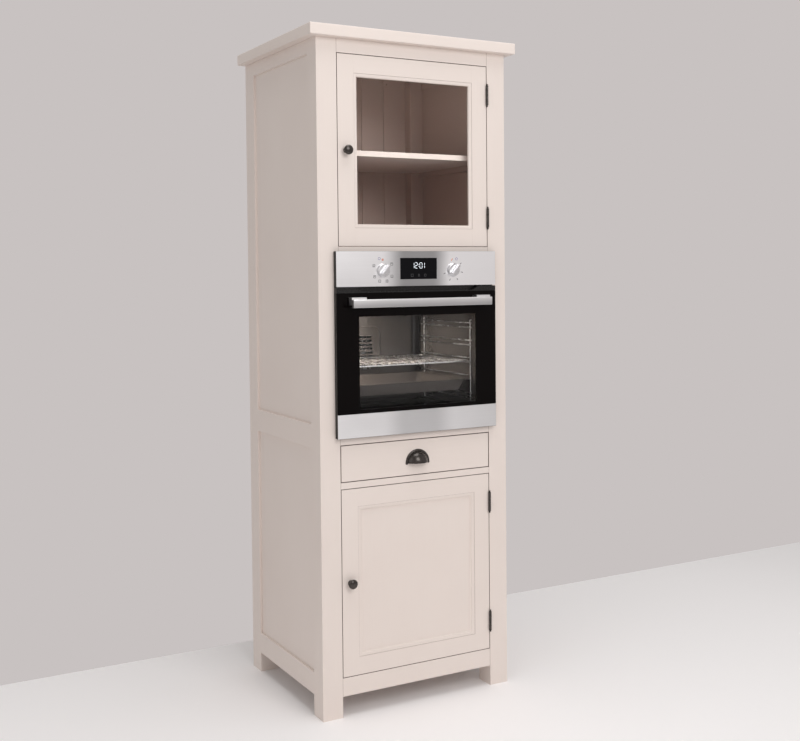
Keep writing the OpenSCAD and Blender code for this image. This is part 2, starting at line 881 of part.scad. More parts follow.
module frame_hinge_leaves() {
  color(iron) in_place()
    for (z = concat(lower_hinges, upper_hinges))
      hinge_leaf(z, open_x + leaf_sink - leaf_t, open_x + leaf_sink, 0);
}
module upper_hinge_leaves() {
  color(iron) in_place()
    for (z = upper_hinges) hinge_leaf(z, edge_x - leaf_sink, edge_x - leaf_sink + leaf_t, 1);
}
module lower_hinge_leaves() {
  color(iron) in_place()
    for (z = lower_hinges) hinge_leaf(z, edge_x - leaf_sink, edge_x - leaf_sink + leaf_t, 1);
}

// Pins that hold the leaves together, with a collar and a pointed finial at each end
module hinge_pins() {
  color(iron) in_place() for (z = concat(lower_hinges, upper_hinges)) translate([hinge_x, hinge_y, z]) {
    translate([0, 0, -leaf_h / 2]) cylinder(h = leaf_h, r = pin_r);
    for (end = [0, 1]) mirror([0, 0, end]) translate([0, 0, leaf_h / 2]) {
      cylinder(h = finial_h * 0.2, r = knuckle_r * 0.85);
      translate([0, 0, finial_h * 0.2]) cylinder(h = finial_h * 0.2, r = knuckle_r * 0.5);
      translate([0, 0, finial_h * 0.4]) cylinder(h = finial_h * 0.6, r1 = knuckle_r * 0.75, r2 = 0.6);
    }
  }
}

// Magnets behind the rails, which the doors close against
module magnet_catches() {
  x0 = catch_inset - open_x;
  color(iron) in_place() for (z = [lower_top, upper_top]) {
    block([x0, rail_t, z], [x0 + catch_w, rail_t + catch_d, z + catch_d]);
    block([x0, rail_t + catch_gap + max(0, door_t - rail_t), z - catch_d],
          [x0 + catch_w, rail_t + catch_d, z]);
  }
}

// ---- Drawer --------------------------------------------------------------------------------------

module drawer_front() {
  color(cream) in_place()
    block([-edge_x, 0, drawer_z + door_gap], [edge_x, door_t, drawer_top - door_gap]);
}

module drawer_box() {
  inner_x = box_x - drawer_side_t;
  groove_x = inner_x + drawer_groove_d;
  color(pine) in_place() difference() {
    block([-box_x, door_t, box_z], [box_x, box_y1, box_z + drawer_box_h]);
    block([-inner_x, door_t + drawer_side_t, box_z - 1],
          [inner_x, box_y1 - drawer_side_t, box_z + drawer_box_h + 1]);
    block([-groove_x, door_t + drawer_side_t - drawer_groove_d, bottom_z],
          [groove_x, box_y1 - drawer_side_t + drawer_groove_d, bottom_z + drawer_bottom_t]);
  }
}

module drawer_bottom() {
  grow = drawer_groove_d - groove_play;
  x = box_x - drawer_side_t + grow;
  color(pine) in_place()
    block([-x, door_t + drawer_side_t - grow, bottom_z],
          [x, box_y1 - drawer_side_t + grow, bottom_z + drawer_bottom_t]);
}

// A half-round cup with a rounded rim, open below for the fingers
module cup_handle() {
  rim_r = cup_rim_w / 2;
  rim_at = cup_r - rim_r;
  base_r = rim_at - 1;
  ball_r = (base_r * base_r + cup_reach * cup_reach) / (2 * cup_reach);
  color(iron) in_place() translate([0, 0, (drawer_z + drawer_top) / 2 - cup_drop]) {
    difference() {
      union() {
        rotate([90, 0, 0]) rotate_extrude(angle = 180) translate([rim_at, 0]) circle(rim_r);
        for (x = [-1, 1]) translate([x * rim_at, 0, 0]) sphere(rim_r);
      }
      block([-cup_r - 1, 0, -cup_r], [cup_r + 1, cup_r, cup_r + 1]);
    }
    difference() {
      translate([0, ball_r - cup_reach, 0]) sphere(ball_r);
      translate([0, ball_r - cup_reach, 0]) sphere(ball_r - cup_wall);
      block([-2 * cup_r, 0, -2 * cup_r], [2 * cup_r, 3 * cup_r, 2 * cup_r]);
      block([-2 * cup_r, -2 * cup_r, -2 * cup_r], [2 * cup_r, 2 * cup_r, 0]);
    }
  }
}

// Steel channels on the cabinet, each with a roller at its front end
module drawer_runners() {
  color(zinc) in_place() both_sides() {
    difference() {
      block([open_x - runner_reach, runner_y0, runner_z], [open_x, box_y1, runner_z + runner_h]);
      block([open_x - runner_reach - 1, runner_y0 - 1, runner_z + runner_t],
            [open_x - runner_t, box_y1 + 1, runner_z + runner_h - runner_t]);
    }
    z = runner_z + runner_t + runner_gap + front_roller_r;
    y = door_t + roller_y;
    rod_x(open_x - runner_reach + roller_in, open_x - runner_t - 1, y, z, front_roller_r);
    rod_x(open_x - runner_t - 1.5, open_x - runner_t + 0.5, y, z, front_roller_r / 2);
  }
}

// Steel angles on the drawer, each with a roller at its back end, which runs in the channel
module drawer_slides() {
  flange_z = runner_z + runner_t + 2 * runner_gap + 2 * front_roller_r;
  y = box_y1 - roller_y;
  z = runner_z + runner_h / 2;
  color(zinc) in_place() both_sides() {
    block([box_x, runner_y0, runner_z + 3 * runner_t],
          [box_x + runner_t - runner_gap, box_y1, runner_z + runner_h - 3 * runner_t]);
    block([box_x, runner_y0, flange_z],
          [open_x - runner_t - 1, y - rear_roller_r - runner_gap, flange_z + runner_t]);
    rod_x(box_x, box_x + roller_in + 0.5, y, z, rear_roller_r / 2);
    rod_x(box_x + roller_in, open_x - runner_t - 1, y, z, rear_roller_r);
  }
}

// ---- Oven: casing, cavity and front --------------------------------------------------------------

// Outer sheets, with air slots in the back and in the top, and the box where the mains comes in
module oven_casing() {
  inlet_w = 80;
  inlet_d = 22;
  inlet_h = 55;
  inlet_in = 70;
  inlet_rise = 30;
  cable_r = 5;
  inlet_x = casing_x - inlet_in;
  inlet_z = niche_z + inlet_rise;
  slots = 5;
  slot_pitch = 40;
  slot_w = 24;
  slot_h = 8;
  slot_drop = 60;
  row_gap = 30;
  cut = casing_t + 1;
  color(zinc) in_place() difference() {
    union() {
      across(casing_x, 0, casing_back, niche_z, casing_top);
      block([inlet_x - inlet_w / 2, casing_back - casing_t, inlet_z],
            [inlet_x + inlet_w / 2, casing_back + inlet_d, inlet_z + inlet_h]);
    }
    across(casing_x - casing_t, -1, casing_back - casing_t, niche_z + casing_t, casing_top - casing_t);
    rod_z(inlet_x, casing_back + inlet_d / 2, inlet_z - 1, inlet_z + inlet_h / 4, cable_r);
    for (i = [-slots : slots]) translate([i * slot_pitch, 0, 0]) {
      for (z = [casing_top - slot_drop - row_gap, casing_top - slot_drop])
        across(slot_w / 2, casing_back - cut, casing_back + 1, z, z + slot_h);
      across(slot_w / 2, casing_back - slot_drop, casing_back - slot_drop + slot_h, casing_top - cut,
             casing_top + 1);
    }
  }
}

// The enamelled liner, open at its mouth, with a hole for the fan's shaft
module oven_cavity() {
  shaft_room = 6;
  color(enamel) in_place() difference() {
    across(cav_x + liner_t, seat_back, cav_back + liner_t, cav_z - liner_t, cav_top + liner_t);
    across(cav_x, seat_back - 1, cav_back, cav_z, cav_top);
    rod_y(0, cav_back - 1, cav_back + liner_t + 1, fan_z, fan_shaft_r + shaft_room);
  }
}

// Sheet behind the door and the control panel, with the recessed seat round the cavity's mouth
module oven_front_frame() {
  side = oven_x - frame_margin;
  service_in = 45;
  service_edge = 12;
  color(black) in_place() difference() {
    union() {
      across(side, -frame_sheet, 0, oven_z + frame_margin, oven_top - frame_margin);
      across(mouth_x + frame_sheet, 0, seat_back, mouth_z - frame_sheet, mouth_top + frame_sheet);
    }
    across(mouth_x, -2 * frame_sheet, seat_y, mouth_z, mouth_top);
    across(cav_x, 0, seat_back + 1, cav_z, cav_top);
    across(oven_x - service_in, -2 * frame_sheet, 1, panel_z + service_edge, oven_top - service_edge);
    both_sides() {
      block([lug_x - lug_gap, -2 * frame_sheet, axis_z - lug_neck - lug_gap],
            [lug_x + lug_t + lug_gap, 1, axis_z + lug_neck + lug_gap]);
      for (z = screw_heights) translate([screw_x, -frame_sheet, z]) rotate([-90, 0, 0])
        cylinder(h = frame_sheet, r1 = screw_head_r + run_gap, r2 = screw_r + run_gap + screw_play);
    }
  }
}

module oven_screws() {
  color(zinc) in_place() both_sides() for (z = screw_heights) {
    translate([screw_x, -frame_sheet, z]) rotate([-90, 0, 0])
      cylinder(h = frame_sheet, r1 = screw_head_r, r2 = screw_r);
    rod_y(screw_x, -0.1, screw_len, z, screw_r);
  }
}

// Folded steel front with holes for the knobs and the display
module control_panel() {
  color(steel) in_place() difference() {
    across(oven_x, oven_y, -frame_sheet, panel_z, oven_top);
    across(oven_x - fascia_t, oven_y + fascia_t, 0, panel_z + fascia_t, oven_top - fascia_t);
    across(display_w / 2, oven_y - 1, 0, display_z - display_h / 2, display_z + display_h / 2);
    both_sides() rod_y(control_x, oven_y - 1, 0, dial_z, dial_hole_r);
  }
}

module display_glass() {
  x = display_w / 2;
  z = display_h / 2;
  color(black) in_place() {
    across(x - display_play, oven_y - display_play, oven_y + fascia_t + 1,
           display_z - z + display_play, display_z + z - display_play);
    across(x + display_lip, oven_y + fascia_t, oven_y + fascia_t + display_t,
           display_z - z - display_lip, display_z + z + display_lip);
  }
}

// Switch bodies behind the knobs; each has a bore that the knob's shaft turns in
module control_switches() {
  s = switch_size / 2;
  y0 = oven_y + fascia_t;
  color(zinc) in_place() both_sides() difference() {
    block([control_x - s, y0, dial_z - s], [control_x + s, y0 + switch_d, dial_z + s]);
    rod_y(control_x, y0 - 1, y0 + dial_depth + 2, dial_z, dial_shaft_r + run_gap);
  }
}

// A knob: a round base, a grip across it with a mark at its lower end, and a shaft
module dial(x) {
  top = dial_reach - dial_gap;
  bevel = 1.5;
  mark_w = 2;
  mark_d = 1;
  color(chrome) in_place() translate([x, oven_y - dial_gap, dial_z]) rotate([90, 0, 0]) {
    cylinder(h = dial_base, r1 = dial_r, r2 = dial_r - bevel);
    translate([0, 0, -dial_depth - fascia_t]) cylinder(h = dial_depth + fascia_t + 1, r = dial_shaft_r);
    rotate([0, 0, -dial_angle]) difference() {
      linear_extrude(top) rounded(dial_grip_w, 2 * (dial_r - bevel), dial_grip_w / 2 - bevel / 3);
      translate([-mark_w / 2, -dial_r, top - mark_d]) cube([mark_w, dial_r * 0.6, 2 * mark_d]);
    }
  }
}

module function_knob() {
  dial(-control_x);
}
module thermostat_knob() {
  dial(control_x);
}

// ---- Oven: inside --------------------------------------------------------------------------------

// Pressed cover over the fan, with rows of slots in three columns and a long slot near each corner
module fan_cover() {
  corner_r = 45;
  slot_w = 22;
  slot_h = 7;
  slot_gap = 7;
  slot_taper = 0.04;
  rows = 9;
  long_slot = [34, 10];
  long_at = [fan_cover_w / 2 - 38, fan_cover_h / 2 - 28];
  side_slot = [14, 34];
  side_pitch = 50;
  front = [fan_cover_y - 1, fan_cover_y + fan_cover_t + 1];
  color(enamel) in_place() translate([0, 0, fan_z]) difference() {
    upright(fan_cover_y, cav_back) rounded(fan_cover_w, fan_cover_h, corner_r);
    upright(fan_cover_y + fan_cover_t, cav_back + 1)
      rounded(fan_cover_w - 2 * fan_cover_t, fan_cover_h - 2 * fan_cover_t, corner_r - fan_cover_t);
    for (row = [0 : rows - 1], col = [-1, 0, 1])
      translate([col * (slot_w + slot_gap) * (1 - row * slot_taper), 0,
                 (row - (rows - 1) / 2) * (slot_h + slot_gap)])
        upright(front[0], front[1]) rounded(slot_w, slot_h, slot_h / 2 - 0.5);
    for (x = [-1, 1], z = [-1, 1]) translate([x * long_at[0], 0, z * long_at[1]])
      upright(front[0], front[1]) rounded(long_slot[0], long_slot[1], long_slot[1] / 2 - 0.5);
    for (side = [-1, 1], z = [-1.5 : 1.5])
      translate([side * fan_cover_w / 2, cav_back - fan_cover_d / 2, z * side_pitch])
        cube([6 * fan_cover_t, side_slot[0], side_slot[1]], center = true);
  }
}

// A disc with straight blades and a hub, and the shaft that runs back into the motor
module fan_wheel() {
  color(zinc) in_place() translate([0, fan_y, fan_z]) rotate([90, 0, 0]) {
    cylinder(h = fan_sheet, r = fan_r);
    cylinder(h = fan_d, r = fan_hub_r);
    for (i = [0 : fan_blades - 1]) rotate([0, 0, i * 360 / fan_blades])
      translate([fan_hub_r - 2, -fan_sheet / 2, 0]) cube([fan_r - fan_hub_r + 1, fan_sheet, fan_d]);
    translate([0, 0, fan_y - shaft_end]) cylinder(h = shaft_end - fan_y + 1, r = fan_shaft_r);
  }
}

// The motor behind the cavity, with the bore that its shaft turns in
module fan_motor() {
  y0 = cav_back + liner_t;
  strap_r = 6;
  color(zinc) in_place() difference() {
    union() {
      rod_y(0, y0, y0 + motor_len, fan_z, motor_r);
      translate([0, 0, fan_z]) upright(y0, y0 + 2 * liner_t) rounded(strap_w, strap_h, strap_r);
    }
    rod_y(0, y0 - 1, shaft_end + 2, fan_z, fan_shaft_r + run_gap);
  }
}

// The grill's runs under the ceiling, and the ring round the fan with a sleeve at each of its ends
module heating_elements() {
  ring_r = fan_r + ring_gap + element_r;
  sleeve_r = element_r + 1;
  ring_y = cav_back - ring_back;
  gap_angle = 12;
  front_gap = 45;
  back_gap = 35;
  run_y0 = seat_back + front_gap;
  run_y1 = fan_cover_y - back_gap;
  hanger_in = 30;
  hanger_t = 2;
  turn_r = grill_pitch / 2;
  last_x = (grill_runs - 1) / 2 * grill_pitch;
  color(iron) in_place() {
    translate([0, ring_y, fan_z]) rotate([90, 0, 0]) rotate([0, 0, 90 + gap_angle])
      rotate_extrude(angle = 360 - 2 * gap_angle) translate([ring_r, 0]) circle(element_r);
    for (side = [-1, 1]) {
      x = side * ring_r * sin(gap_angle);
      z = fan_z + ring_r * cos(gap_angle);
      rod_y(x, ring_y - sleeve_r, cav_back, z, sleeve_r);
    }
    for (i = [0 : grill_runs - 1]) {
      outer = i == 0 || i == grill_runs - 1;
      rod_y(i * grill_pitch - last_x, run_y0, outer ? cav_back : run_y1, grill_z, element_r);
    }
    for (i = [0 : grill_runs - 2])
      translate([(i + 0.5) * grill_pitch - last_x, i % 2 == 0 ? run_y0 : run_y1, grill_z])
        rotate([0, 0, i % 2 == 0 ? 180 : 0])
          rotate_extrude(angle = 180) translate([turn_r, 0]) circle(element_r);
    for (y = [run_y0 + hanger_in, run_y1 - hanger_in])
      across(last_x + 2 * element_r, y, y + hanger_t, grill_z, cav_top);
  }
}

// A round lamp under the ceiling: metal ring and glass dome
module oven_lamp() {
  side_gap = 50;
  back_gap = 60;
  ring_h = 4;
  ring_w = 2;
  dome_lift = 6;
  color(lamp_white) in_place() translate([side_gap - cav_x, fan_cover_y - back_gap, cav_top]) {
    translate([0, 0, -ring_h]) cylinder(h = ring_h, r = lamp_r);
    intersection() {
      translate([0, 0, dome_lift]) sphere(lamp_r - ring_w);
      translate([0, 0, -lamp_r]) cylinder(h = lamp_r, r = lamp_r);
    }
  }
}

// One rod rack for each side wall: two posts with pegs to the wall, and two guide rods at each level
module side_racks() {
  sunk = 0.5;
  post_in = 14;
  post_rise = 10;
  post_foot = 16;
  post_x = rack_x + 2 * rack_rod_r - sunk;
  top = level_height(levels) + rack_slot + post_rise;
  low = cav_z + post_foot;
  color(chrome) in_place() both_sides() {
    for (n = [1 : levels], lift = [0, rack_slot])
      rod_y(rack_x, rack_y0, rack_y1, level_height(n) + lift, rack_rod_r);
    for (y = [rack_y0 + post_in, rack_y1 - post_in]) {
      rod_z(post_x, y, low, top, rack_rod_r);
      for (z = [low, top]) {
        translate([post_x, y, z]) sphere(rack_rod_r);
        rod_x(post_x, cav_x, y, z, rack_rod_r);
      }
    }
  }
}

// A rod bent to a rectangle, with thin bars from front to back over two cross bars
module wire_shelf() {
  bend_r = 4 * grid_rod_r;
  bar_drop = 0.3;
  y0 = load_y0 + grid_rod_r;
  y1 = load_y1 - grid_rod_r;
  bar_z = grid_z + grid_rod_r - grid_bar_r - bar_drop;
  pitch = 2 * grid_x / (grid_bars + 1);
  color(chrome) in_place() {
    for (y = [y0, y1]) rod_x(bend_r - grid_x, grid_x - bend_r, y, grid_z, grid_rod_r);
    for (x = [-grid_x, grid_x]) rod_y(x, y0 + bend_r, y1 - bend_r, grid_z, grid_rod_r);
    for (corner = [[1, y1, 0], [-1, y1, 90], [-1, y0, 180], [1, y0, 270]])
      translate([corner[0] * (grid_x - bend_r), corner[1] + (corner[1] == y0 ? bend_r : -bend_r), grid_z])
        rotate([0, 0, corner[2]]) rotate_extrude(angle = 90) translate([bend_r, 0]) circle(grid_rod_r);
    for (i = [1 : grid_bars]) rod_y(i * pitch - grid_x, y0, y1, bar_z, grid_bar_r);
    for (part = [1, 2])
      rod_x(-grid_x, grid_x, y0 + (y1 - y0) * part / 3, bar_z - 2 * grid_bar_r, grid_bar_r * 1.3);
  }
}

// A deep enamelled tray whose rim runs on the racks
module baking_tray() {
  rim_play = 0.5;
  rim_w = 10;
  rim_corner = 12;
  corner = 20;
  taper = 0.94;
  rim_x = rack_x + rim_play;
  body_x = rack_x - rack_rod_r - rim_w / 2;
  rim_len = load_y1 - load_y0;
  body_len = rim_len - 2 * rim_w;
  mid_y = (load_y0 + load_y1) / 2;
  inside = [2 * (body_x - tray_t), body_len - 2 * tray_t, corner - tray_t];
  color(enamel) in_place() translate([0, mid_y, tray_z]) {
    difference() {
      linear_extrude(tray_t) rounded(2 * rim_x, rim_len, rim_corner, $fn = 32);
      translate([0, 0, -1]) linear_extrude(tray_t + 2) rounded(inside[0], inside[1], inside[2], $fn = 32);
    }
    difference() {
      rotate([180, 0, 0]) linear_extrude(tray_h, scale = taper)
        rounded(2 * body_x, body_len, corner, $fn = 32);
      translate([0, 0, 0.01]) rotate([180, 0, 0]) linear_extrude(tray_h - tray_t, scale = taper)
        rounded(inside[0], inside[1], inside[2], $fn = 32);
    }
  }
}

// A soft ring on the seat round the cavity's mouth
module door_seal() {
  inset = (seat_w - seal_w) / 2;
  corner_r = 14;
  w = 2 * (mouth_x - inset);
  h = mouth_top - mouth_z - 2 * inset;
  color(black) in_place() translate([0, 0, (mouth_z + mouth_top) / 2]) difference() {
    upright(seat_y - seal_t, seat_y) rounded(w, h, corner_r);
    upright(seat_y - seal_t - 1, seat_y + 1) rounded(w - 2 * seal_w, h - 2 * seal_w, corner_r - seal_w);
  }
}

// ---- Oven: door ----------------------------------------------------------------------------------

module door_outer_glass() {
  color(glass) in_place() across(oven_x, oven_y, pane_back, strip_top + pane_gap, trim_z);
}

module door_bottom_strip() {
  color(steel) in_place() across(oven_x, oven_y, pane_back, door_z, strip_top);
}

// The trim over the glass; its middle dips to let air in under the control panel
module door_top_trim() {
  half = dip_w / 2;
  low = door_top - trim_dip;
  color(black) in_place() upright(oven_y, door_back) polygon([
    [-oven_x, trim_z], [oven_x, trim_z], [oven_x, door_top], [half + dip_run, door_top], [half, low],
    [-half, low], [-half - dip_run, door_top], [-oven_x, door_top]]);
}

// Two black sheets joined round their edge, and the frame behind them that holds the inner glass
module oven_door_frame() {
  set_in = 1.5;
  seat_play = [5, 6];
  side = oven_x - set_in;
  inner_x = mouth_x - seat_play[0];
  inner_z0 = mouth_z + seat_play[1];
  inner_z1 = mouth_top - seat_play[1];
  win = window_w / 2;
  wall = 2;
  pocket = arm_pocket();
  color(black) in_place() difference() {
    union() {
      across(side, pane_back, door_back, door_z, trim_z);
      across(inner_x, door_back, inner_pane_y, inner_z0, inner_z1);
    }
    across(side - wall, pane_back + door_sheet, door_back - door_sheet, axis_z + arm_h, trim_z - wall);
    across(lug_x - 3 * arm_t, pane_back + door_sheet, door_back - door_sheet, door_z + door_heel + wall,
           axis_z + arm_h + 1);
    across(inner_x - 2 * wall, door_back - 2, inner_pane_y + 1, window_z - wall, window_z + window_h + wall);
    across(win, pane_back - 1, door_back + 1, window_z, window_z + window_h);
    translate([0, door_back, door_z]) rotate([45, 0, 0])
      cube([2 * oven_x + 2, door_heel * sqrt(2), door_heel * sqrt(2)], center = true);
    both_sides() {
      block(pocket[0], pocket[1]);
      lug_notch();
    }
  }
}

// Pocket for a hinge arm in the door's foot: its lowest and its highest corner
function arm_pocket() = [
  [lug_x - lug_gap - arm_t, pane_back + door_sheet, axis_z - arm_foot],
  [lug_x + lug_t + lug_gap + arm_t, arm_y1, axis_z + arm_h]
];

// Room in the door for a bracket's lug, over the door's whole travel
module lug_notch() {
  block([lug_x - lug_gap, pane_back + door_sheet, door_z - 1],
        [lug_x + lug_t + lug_gap, 0, axis_z + lug_r + lug_gap]);
}

// Steel arms in the door's foot, each with two cheeks round a bracket's lug
module door_hinge_arms() {
  pocket = arm_pocket();
  color(zinc) in_place() both_sides() difference() {
    block(pocket[0], pocket[1]);
    lug_notch();
    rod_x(pocket[0][0] - 1, pocket[1][0] + 1, axis_y, axis_z, door_pin_r + run_gap);
  }
}

// Brackets behind the front frame; each one's lug reaches through it and carries the door's pin
module oven_hinge_brackets() {
  pocket = arm_pocket();
  color(zinc) in_place() both_sides() {
    rod_x(lug_x, lug_x + lug_t, axis_y, axis_z, lug_r);
    block([lug_x, axis_y, axis_z - lug_neck], [lug_x + lug_t, 1, axis_z + lug_neck]);
    rod_x(pocket[0][0], pocket[1][0], axis_y, axis_z, door_pin_r);
    block([casing_x - casing_t - bracket_w, 0, niche_z + casing_t],
          [casing_x - casing_t, bracket_d, mouth_z - frame_sheet - 1]);
  }
}

module door_inner_glass() {
  color(glass) in_place()
    across(mouth_x - pane_play, inner_pane_y, inner_pane_y + inner_pane_t, mouth_z + pane_play,
           mouth_top - pane_play);
}

// A bar with rounded edges on two end mounts that rise a little above it
module oven_handle() {
  bar_y = oven_y - handle_reach;
  edge = 4;
  rise = 6;
  mount_h = 24;
  bevel = 6;
  color(steel) in_place() translate([0, 0, handle_z]) {
    translate([-handle_len / 2, bar_y + handle_t / 2, 0]) rotate([90, 0, 90])
      linear_extrude(handle_len) rounded(handle_t, handle_h, edge);
    both_sides() translate([0, 0, handle_h / 2 + rise - mount_h]) linear_extrude(mount_h) polygon([
      [handle_len / 2 - mount_w, bar_y + handle_t], [handle_len / 2 - mount_w, oven_y],
      [handle_len / 2 - bevel, oven_y], [handle_len / 2, oven_y - bevel],
      [handle_len / 2, bar_y + handle_t]]);
  }
}

// ---- The nodes -----------------------------------------------------------------------------------

top_slab();
front_posts();
rear_posts();
top_rail();
middle_rails();
bottom_rail();
side_rails();
side_panels();
rear_rails();
back_panels();
niche_boards();
bottom_board();
display_shelf();
side_bearers();
upper_door_frame();
upper_door_moulding();
upper_door_glass();
glass_retainer();
upper_door_knob();
lower_door_frame();
lower_door_moulding();
lower_door_panel();
lower_door_knob();
drawer_front();
drawer_box();
drawer_bottom();
cup_handle();
drawer_runners();
drawer_slides();
frame_hinge_leaves();
upper_hinge_leaves();
lower_hinge_leaves();
hinge_pins();
magnet_catches();
oven_casing();
oven_cavity();
oven_front_frame();
control_panel();
display_glass();
function_knob();
thermostat_knob();
control_switches();
oven_screws();
fan_cover();
fan_wheel();
fan_motor();
heating_elements();
oven_lamp();
side_racks();
wire_shelf();
baking_tray();
door_seal();
oven_door_frame();
door_outer_glass();
door_inner_glass();
door_bottom_strip();
door_top_trim();
oven_handle();
door_hinge_arms();
oven_hinge_brackets();
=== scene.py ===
"""A tall painted oven housing: glazed cupboard, built-in oven, drawer and panelled cupboard."""

import json
import math
import random
from functools import cache, cached_property

import bmesh
import bpy
from bpy.props import FloatProperty, FloatVectorProperty, PointerProperty
from mathutils import Matrix, Vector

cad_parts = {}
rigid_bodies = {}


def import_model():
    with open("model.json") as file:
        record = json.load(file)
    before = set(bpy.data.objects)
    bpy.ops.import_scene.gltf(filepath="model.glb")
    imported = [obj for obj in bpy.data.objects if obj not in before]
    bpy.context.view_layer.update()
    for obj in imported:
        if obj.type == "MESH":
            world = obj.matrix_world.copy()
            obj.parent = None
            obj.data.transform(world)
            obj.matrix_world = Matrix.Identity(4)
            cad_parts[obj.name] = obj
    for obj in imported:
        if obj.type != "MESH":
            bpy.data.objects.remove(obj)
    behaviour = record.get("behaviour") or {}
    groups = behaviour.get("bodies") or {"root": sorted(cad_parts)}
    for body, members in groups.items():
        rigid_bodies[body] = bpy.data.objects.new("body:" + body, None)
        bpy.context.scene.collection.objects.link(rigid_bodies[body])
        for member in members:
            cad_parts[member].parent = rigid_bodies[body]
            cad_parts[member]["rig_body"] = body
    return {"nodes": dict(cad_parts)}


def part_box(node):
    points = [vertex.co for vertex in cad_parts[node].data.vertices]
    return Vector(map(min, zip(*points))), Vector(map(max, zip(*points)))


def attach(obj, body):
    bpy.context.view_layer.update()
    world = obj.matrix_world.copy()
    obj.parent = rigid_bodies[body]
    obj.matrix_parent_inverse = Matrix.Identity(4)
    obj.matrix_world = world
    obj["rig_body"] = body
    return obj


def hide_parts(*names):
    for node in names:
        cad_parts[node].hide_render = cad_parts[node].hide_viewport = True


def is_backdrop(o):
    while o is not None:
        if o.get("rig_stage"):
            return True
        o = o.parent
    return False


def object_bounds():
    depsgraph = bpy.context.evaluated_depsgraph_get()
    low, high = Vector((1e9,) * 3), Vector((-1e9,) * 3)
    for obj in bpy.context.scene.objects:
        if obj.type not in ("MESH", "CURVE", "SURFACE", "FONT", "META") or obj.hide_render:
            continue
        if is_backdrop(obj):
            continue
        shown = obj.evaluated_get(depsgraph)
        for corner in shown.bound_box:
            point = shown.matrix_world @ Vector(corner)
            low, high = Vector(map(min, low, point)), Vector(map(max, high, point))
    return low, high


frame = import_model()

bl_info = {
    "name": "Tall Oven Housing",
    "version": (1, 0, 0),
    "blender": (4, 5, 0),
    "location": "View3D > Sidebar > Oven Housing",
    "description": "Dresses the tall oven housing's frame with timber, glass, iron and steel",
    "category": "Object",
}

NODES = frame["nodes"]
CAD_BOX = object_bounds()
MM = 0.001


def srgb(red, green, blue):
    """The linear colour of three values from 0 to 255."""
    def linear(value):
        value /= 255
        return value / 12.92 if value <= 0.04045 else ((value + 0.055) / 1.055) ** 2.4
    return linear(red), linear(green), linear(blue)


def dimmed(tint, share):
    return tuple(part * share for part in tint)


# ---- Settings ----

def colour(name, description, *value):
    return FloatVectorProperty(name=name, description=description, subtype="COLOR", size=3,
                               min=0, max=1, default=srgb(*value))


def length(name, description, value):
    return FloatProperty(name=name, description=description, unit="LENGTH", min=0,
                         default=value * MM)


def angle(name, description, value):
    return FloatProperty(name=name, description=description, subtype="ANGLE",
                         default=math.radians(value))


class TimberSettings(bpy.types.PropertyGroup):
    paint: colour("Paint", "Painted timber where it is lightest", 238, 227, 220)
    paint_shade: colour("Paint shade", "Painted timber where it is darkest", 228, 214, 206)
    # Painted shade: the two cupboard colours are partly its paint and partly its shade, the darker
    # one lying towards the bottom.
    room_paint: colour("Cupboard paint", "Inside the glazed cupboard", 232, 210, 199)
    room_shade: colour("Cupboard shade", "The cupboard's darkest paint", 183, 158, 147)
    pine: colour("Pine", "Bare pine between its year rings", 222, 190, 146)
    pine_ring: colour("Pine ring", "Year rings of bare pine", 188, 142, 92)
    # Painted shade: this colour darkens the faces in the gaps and the lines round the mouldings; it
    # also draws the dark joints where rails meet posts.
    gap: colour("Gap", "Faces in the gaps round doors and drawer", 118, 91, 79)
    edge: length("Edge", "Width of the rounding on timber edges", 1.4)
    joint: length("Joint", "Width of the line where two members meet", 0.5)


class HardwareSettings(bpy.types.PropertyGroup):
    iron: colour("Iron", "Blackened iron of knobs, hinges and cup handle", 58, 53, 50)
    zinc: colour("Zinc", "Zinc-plated sheet", 176, 179, 182)
    edge: length("Edge", "Rounding of small metal parts", 0.4)


class OvenSettings(bpy.types.PropertyGroup):
    steel: colour("Steel", "Brushed steel of the oven's front", 250, 250, 251)
    print: colour("Print", "Black print behind the oven door's glass", 11, 8, 8)
    enamel: colour("Enamel", "Dark enamel of the cavity", 68, 65, 64)
    tray: colour("Tray", "Dark enamel of the tray", 72, 67, 65)
    fleck: colour("Fleck", "Pale flecks in the enamel", 112, 109, 107)
    figures: colour("Figures", "Lit figures of the clock", 235, 243, 250)
    lamp: FloatProperty(name="Lamp", description="Strength of the oven lamp's glow", min=0,
                        default=1350)
    edge: length("Edge", "Rounding of the front's folded edges", 0.7)


class StageSettings(bpy.types.PropertyGroup):
    floor: colour("Floor", "Studio floor", 255, 252, 252)
    backdrop: colour("Backdrop", "Studio background", 200, 194, 193)
    sky: FloatProperty(name="Sky", description="Strength of the even light", min=0, default=0.43)
    key: FloatProperty(name="Key", description="Power of the large front lamp", unit="POWER",
                       min=0, default=67)
    camera: FloatVectorProperty(name="Camera", description="Place of the camera",
                                subtype="TRANSLATION", size=3, default=(-1.8218, -3.5378, 1.4393))
    yaw: angle("Yaw", "Turn of the view to the right of straight back", 29.762)
    pitch: angle("Pitch", "Upward tilt of the view", -2.034)
    roll: angle("Roll", "Roll of the camera", -0.472)
    lens: FloatProperty(name="Lens", description="Focal length", unit="CAMERA", default=51.2)


def look(group):
    return getattr(bpy.context.scene, "oven_housing_" + group)


# ---- Node trees ----

def maths(operation, clamp=False):
    """A method that adds a Math node."""
    def method(self, *others):
        return self.builder.node("ShaderNodeMath", {"operation": operation, "use_clamp": clamp},
                                 dict(enumerate((self,) + others)))
    return method


